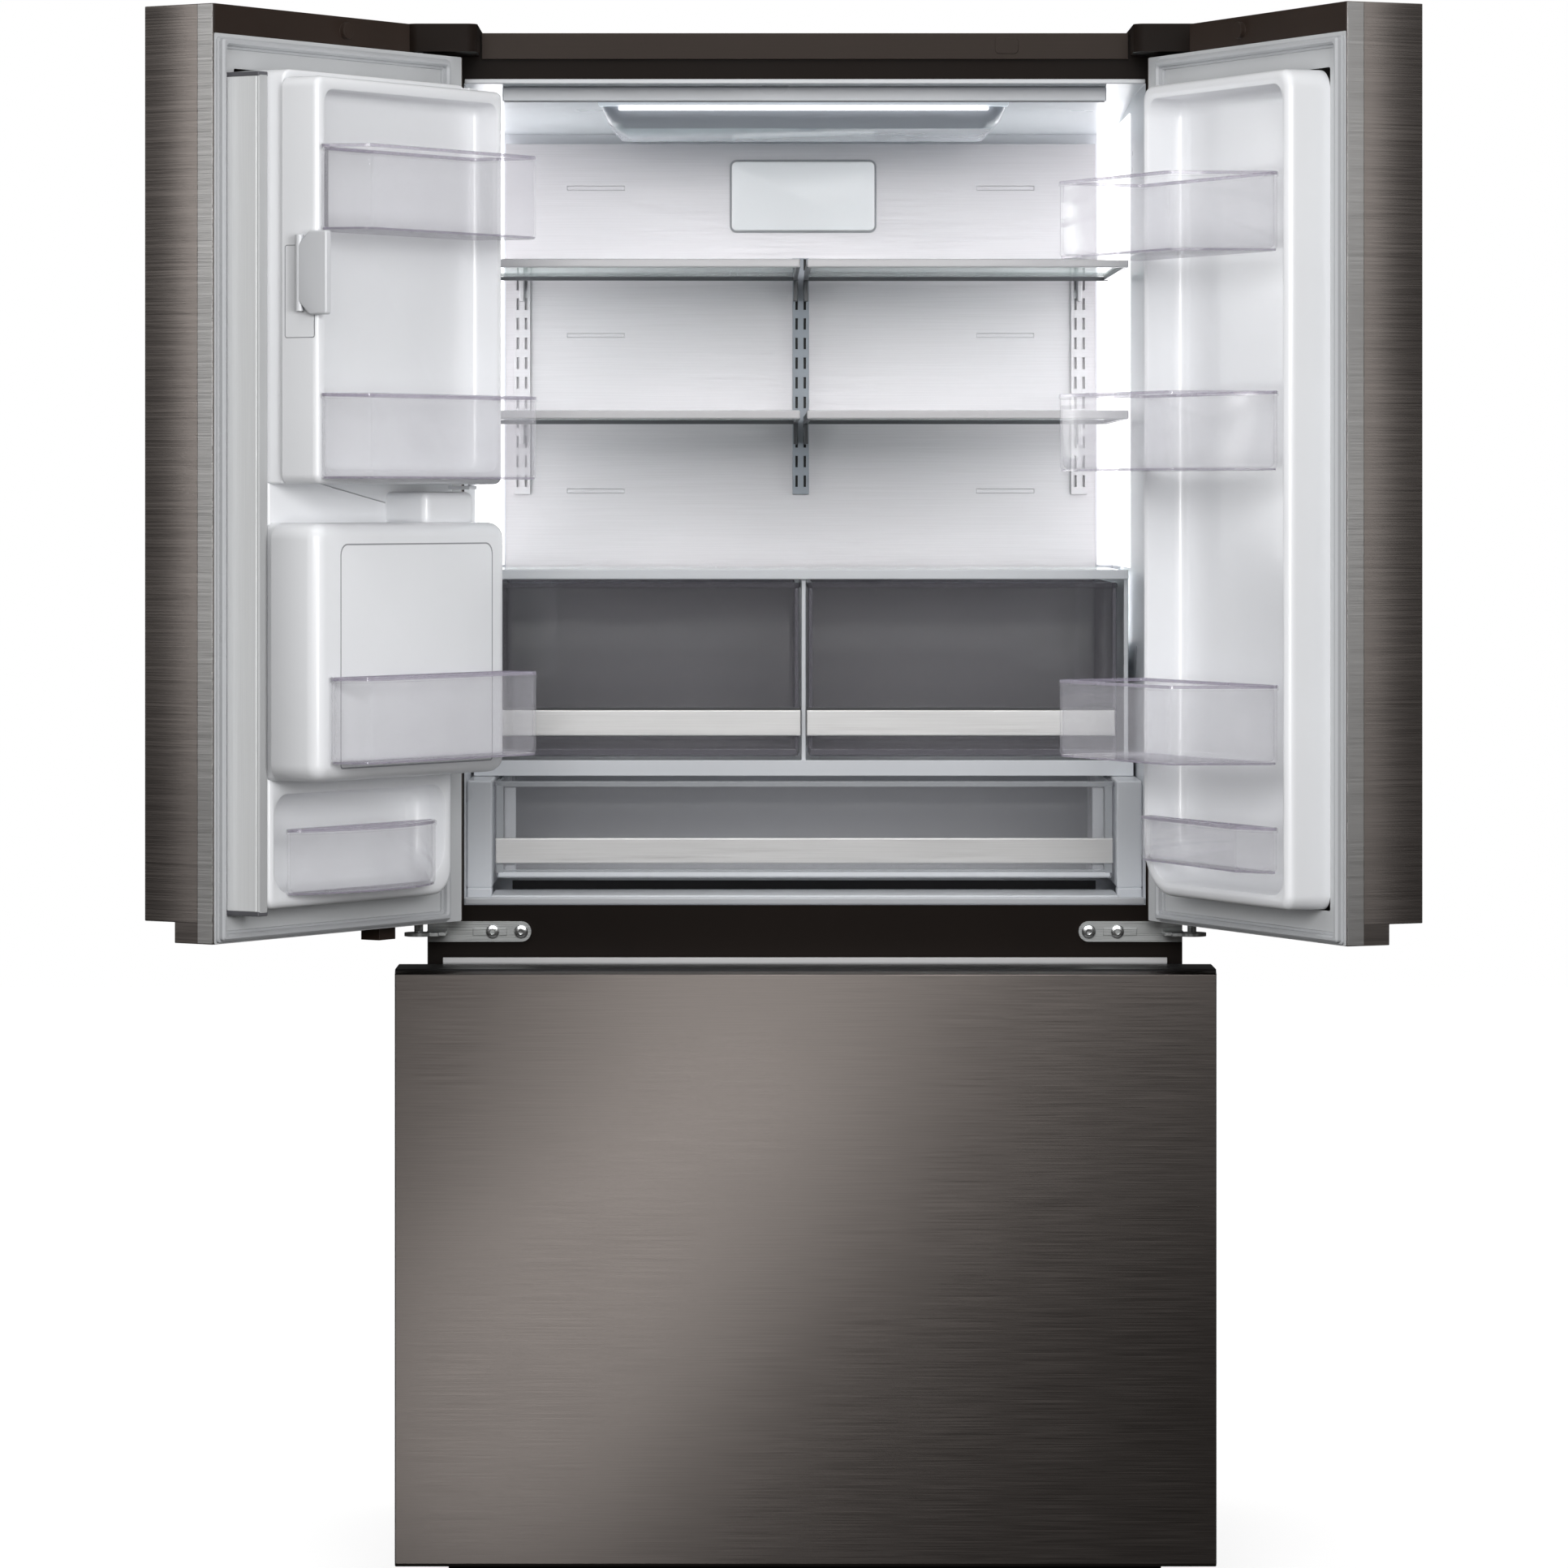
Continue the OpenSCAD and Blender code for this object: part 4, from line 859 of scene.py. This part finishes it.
def right_door():
    """The right door's liner with its hollow, three wide bins and the small bin at its foot."""
    body = "right_door"
    flange = door_common("right", RIGHT)
    outer = rect(36, DOOR_PAD_END, DOOR_PAD_FOOT, DOOR_PAD_TOP, [16, 60, 16, 22], 10)
    inner = rect(52, 357, DOOR_PAD_FOOT + 16, DOOR_PAD_TOP - 16, [20, 52, 20, 20], 10)
    walls = dish("right_plinth", outer, inner, 0, 50, 4, 9, 5, 16, "white_door", RIGHT, body)
    replace("right_door_liner", flange, walls)
    pieces = ()
    wide = [(46, 50.8), (86, BIN_FRONT), (345, BIN_FRONT), (366, 50.8)]
    for k, z in enumerate((960, 1270, 1501)):
        pieces += clear_bin(f"right_bin_{k}", wide, z, z + 84, RIGHT, body)
    pieces += clear_bin("right_small_bin", [(50, 50.8), (100, 80), (345, 64), (345, 50.8)], 845, 894,
                        RIGHT, body, 3)
    replace("right_door_bins", *pieces)


case_details()
ceiling_lamp()
rear_wall()
ceiling_panel()
shelves()
crisper("left", -CRISPER_OUTER_X, -CRISPER_INNER_X, 2 - CRISPER_OUTER_X, -3)
crisper("right", CRISPER_INNER_X, CRISPER_OUTER_X, 3, CRISPER_OUTER_X - 2)
pantry()
cavity_mouth()
left_liner(door_common("left", LEFT))
ice_room_lid()
left_bins()
folded_mullion()
right_door()


# ------------------------------------------------------------ stage, lights and camera

def pale_floor():
    """A wide floor that glows almost white and leaves the object's lighting alone."""
    mesh = bpy.data.meshes.new("floor")
    r = 9.0
    mesh.from_pydata([(-r, -r, 0), (r, -r, 0), (r, r, 0), (-r, r, 0)], [], [(0, 1, 2, 3)])
    floor = bpy.data.objects.new("floor", mesh)
    bpy.context.scene.collection.objects.link(floor)
    mat = bpy.data.materials.new("floor_pale")
    mat.use_nodes = True
    bsdf = mat.node_tree.nodes["Principled BSDF"]
    bsdf.inputs["Base Color"].default_value = (0.88, 0.88, 0.88, 1)
    bsdf.inputs["Emission Color"].default_value = (1, 1, 1, 1)
    bsdf.inputs["Emission Strength"].default_value = 0.72
    bsdf.inputs["Roughness"].default_value = 0.7
    mesh.materials.append(mat)
    floor.visible_glossy = False
    floor.visible_diffuse = False
    floor.visible_shadow = False


def studio_world():
    """White where the camera sees it, dark low down and white overhead where the object does."""
    world = bpy.data.worlds.new("studio")
    world.use_nodes = True
    bpy.context.scene.world = world
    nodes, links = world.node_tree.nodes, world.node_tree.links
    seen = nodes["Background"]
    seen.inputs["Color"].default_value = (1, 1, 1, 1)
    seen.inputs["Strength"].default_value = 1.0
    around = nodes.new("ShaderNodeBackground")
    around.inputs["Strength"].default_value = 0.55
    coords = nodes.new("ShaderNodeTexCoord")
    split = nodes.new("ShaderNodeSeparateXYZ")
    links.new(coords.outputs["Generated"], split.inputs["Vector"])
    links.new(ramp(nodes, links, split.outputs["Z"], (0.045, 0.042, 0.04), (1.0, 1.0, 1.0), 0.40, 0.80),
              around.inputs["Color"])
    path = nodes.new("ShaderNodeLightPath")
    mix = nodes.new("ShaderNodeMixShader")
    links.new(path.outputs["Is Camera Ray"], mix.inputs[0])
    links.new(around.outputs[0], mix.inputs[1])
    links.new(seen.outputs[0], mix.inputs[2])
    links.new(mix.outputs[0], nodes["World Output"].inputs["Surface"])
    bpy.context.scene.view_settings.view_transform = "Standard"


def front_camera():
    """A long lens seven metres in front, shifted down so that uprights stay upright."""
    cam = bpy.data.cameras.new("camera")
    cam.sensor_width = 36.0
    cam.lens = 145.077
    cam.shift_x = 0.019669
    cam.shift_y = -0.181004
    cam.clip_end = 60
    obj = bpy.data.objects.new("camera", cam)
    obj.location = (-0.058, -7.082, 1.2388)
    obj.rotation_euler = (math.radians(90), 0, 0)
    bpy.context.scene.collection.objects.link(obj)
    bpy.context.scene.camera = obj


def area_light(name, location, target, size, power):
    """A rectangular lamp at one place that faces another; metres and watts."""
    light = bpy.data.lights.new(name, "AREA")
    light.shape = "RECTANGLE"
    light.size, light.size_y = size
    light.energy = power
    obj = bpy.data.objects.new(name, light)
    obj.location = location
    obj.rotation_euler = (Vector(target) - Vector(location)).to_track_quat("-Z", "Y").to_euler()
    bpy.context.scene.collection.objects.link(obj)
    return obj


def lights_only(light, names=None, without=()):
    """Keeps a lamp to some pieces, as a flag or a snoot would."""
    group = bpy.data.collections.new(light.name + "_reach")
    for obj in bpy.context.scene.objects:
        if obj.type == "MESH" and (obj.name in names if names else obj.name not in without):
            group.objects.link(obj)
    light.light_linking.receiver_collection = group


def riders(*bodies):
    """Names of the pieces that ride on the given bodies, apart from the steel edges of the doors."""
    return [o.name for o in bpy.context.scene.objects
            if o.type == "MESH" and o.get("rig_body") in bodies and o.name not in EDGES]


EDGES = ("edge_skin_left", "edge_skin_right", "edge_band_left", "edge_band_right", "left_door_skin_look",
         "right_door_skin_look")
DRAWER = ("freezer_front_look",)
MIRRORS = ("front_frame_look", "hinge_covers_look", "top_trim_look")
INSIDE = {"left": riders("left_door", "ice_room_lid", "ice_room_latch", "mullion_bar"),
          "right": riders("right_door")}
FILL_AT, FILL_SIZE = (0.0, -5.5, 2.4), (3.0, 1.6)
DOOR_MIDDLE = (0.6, -0.4, 1.25)


def outside_lamps():
    """The drawer's slanting highlight and its fill, a large front fill, and a lamp overhead."""
    slant = area_light("drawer_slant", (-0.25, -1.30, 0.27), (-0.25, 0, 0.27), (0.34, 0.90), 2.3)
    slant.rotation_euler.rotate_axis("Z", math.radians(-36))
    lights_only(slant, DRAWER)
    lights_only(area_light("drawer_top", (0.12, -2.1, 1.20), (0.1, 0, 0.62), (0.6, 0.4), 9), DRAWER)
    lights_only(area_light("front_fill", FILL_AT, (0, 0, 1.3), FILL_SIZE, 110),
                without=DRAWER + EDGES + MIRRORS)
    lights_only(area_light("mirror_fill", FILL_AT, (0, 0, 1.3), FILL_SIZE, 28), MIRRORS)
    lights_only(area_light("overhead", (-0.3, -1.6, 3.6), (0, 0, 0.9), (2.2, 1.4), 16), without=DRAWER)


def cavity_lamps():
    """Light from the ceiling lamp, and the light that reaches the crispers and the pantry."""
    area_light("cavity_top", (0, 0.36, 1.66), (0, 0.34, 0.9), (0.42, 0.25), 0.30)
    area_light("crisper_glow", (0, 0.40, 1.135), (0, 0.40, 0.5), (0.6, 0.2), 0.30)
    area_light("pantry_glow", (0, 0.33, 0.915), (0, 0.33, 0.5), (0.6, 0.2), 0.30)


def side_lamps(side, sign, power, edge_at, edge_power):
    """One side's column in the cavity, and the lamps for that door's outside, steel edge and inside."""
    x, y, z = DOOR_MIDDLE
    door = (sign * x, y, z)
    area_light("cavity_side_" + side, (sign * 0.376, 0.45, 1.32), (0, 0.45, 1.32), (0.06, 0.5), 0.45)
    lights_only(area_light("door_side_" + side, (sign * 2.4, -2.6, 1.5), door, (0.6, 1.8), power),
                without=DRAWER + EDGES)
    lights_only(area_light("door_edge_" + side, edge_at, door, (0.5, 1.8), edge_power), EDGES)
    lights_only(area_light("door_inside_" + side, (sign * -1.3, -3.6, 1.5), (sign * 0.5, -0.3, 1.25),
                           (0.8, 1.6), 70), INSIDE[side])


pale_floor()
studio_world()
front_camera()
outside_lamps()
cavity_lamps()
side_lamps("left", -1, 5, (-2.32, -2.13, 1.75), 36)
side_lamps("right", 1, 2, (2.03, -3.07, 1.75), 34)
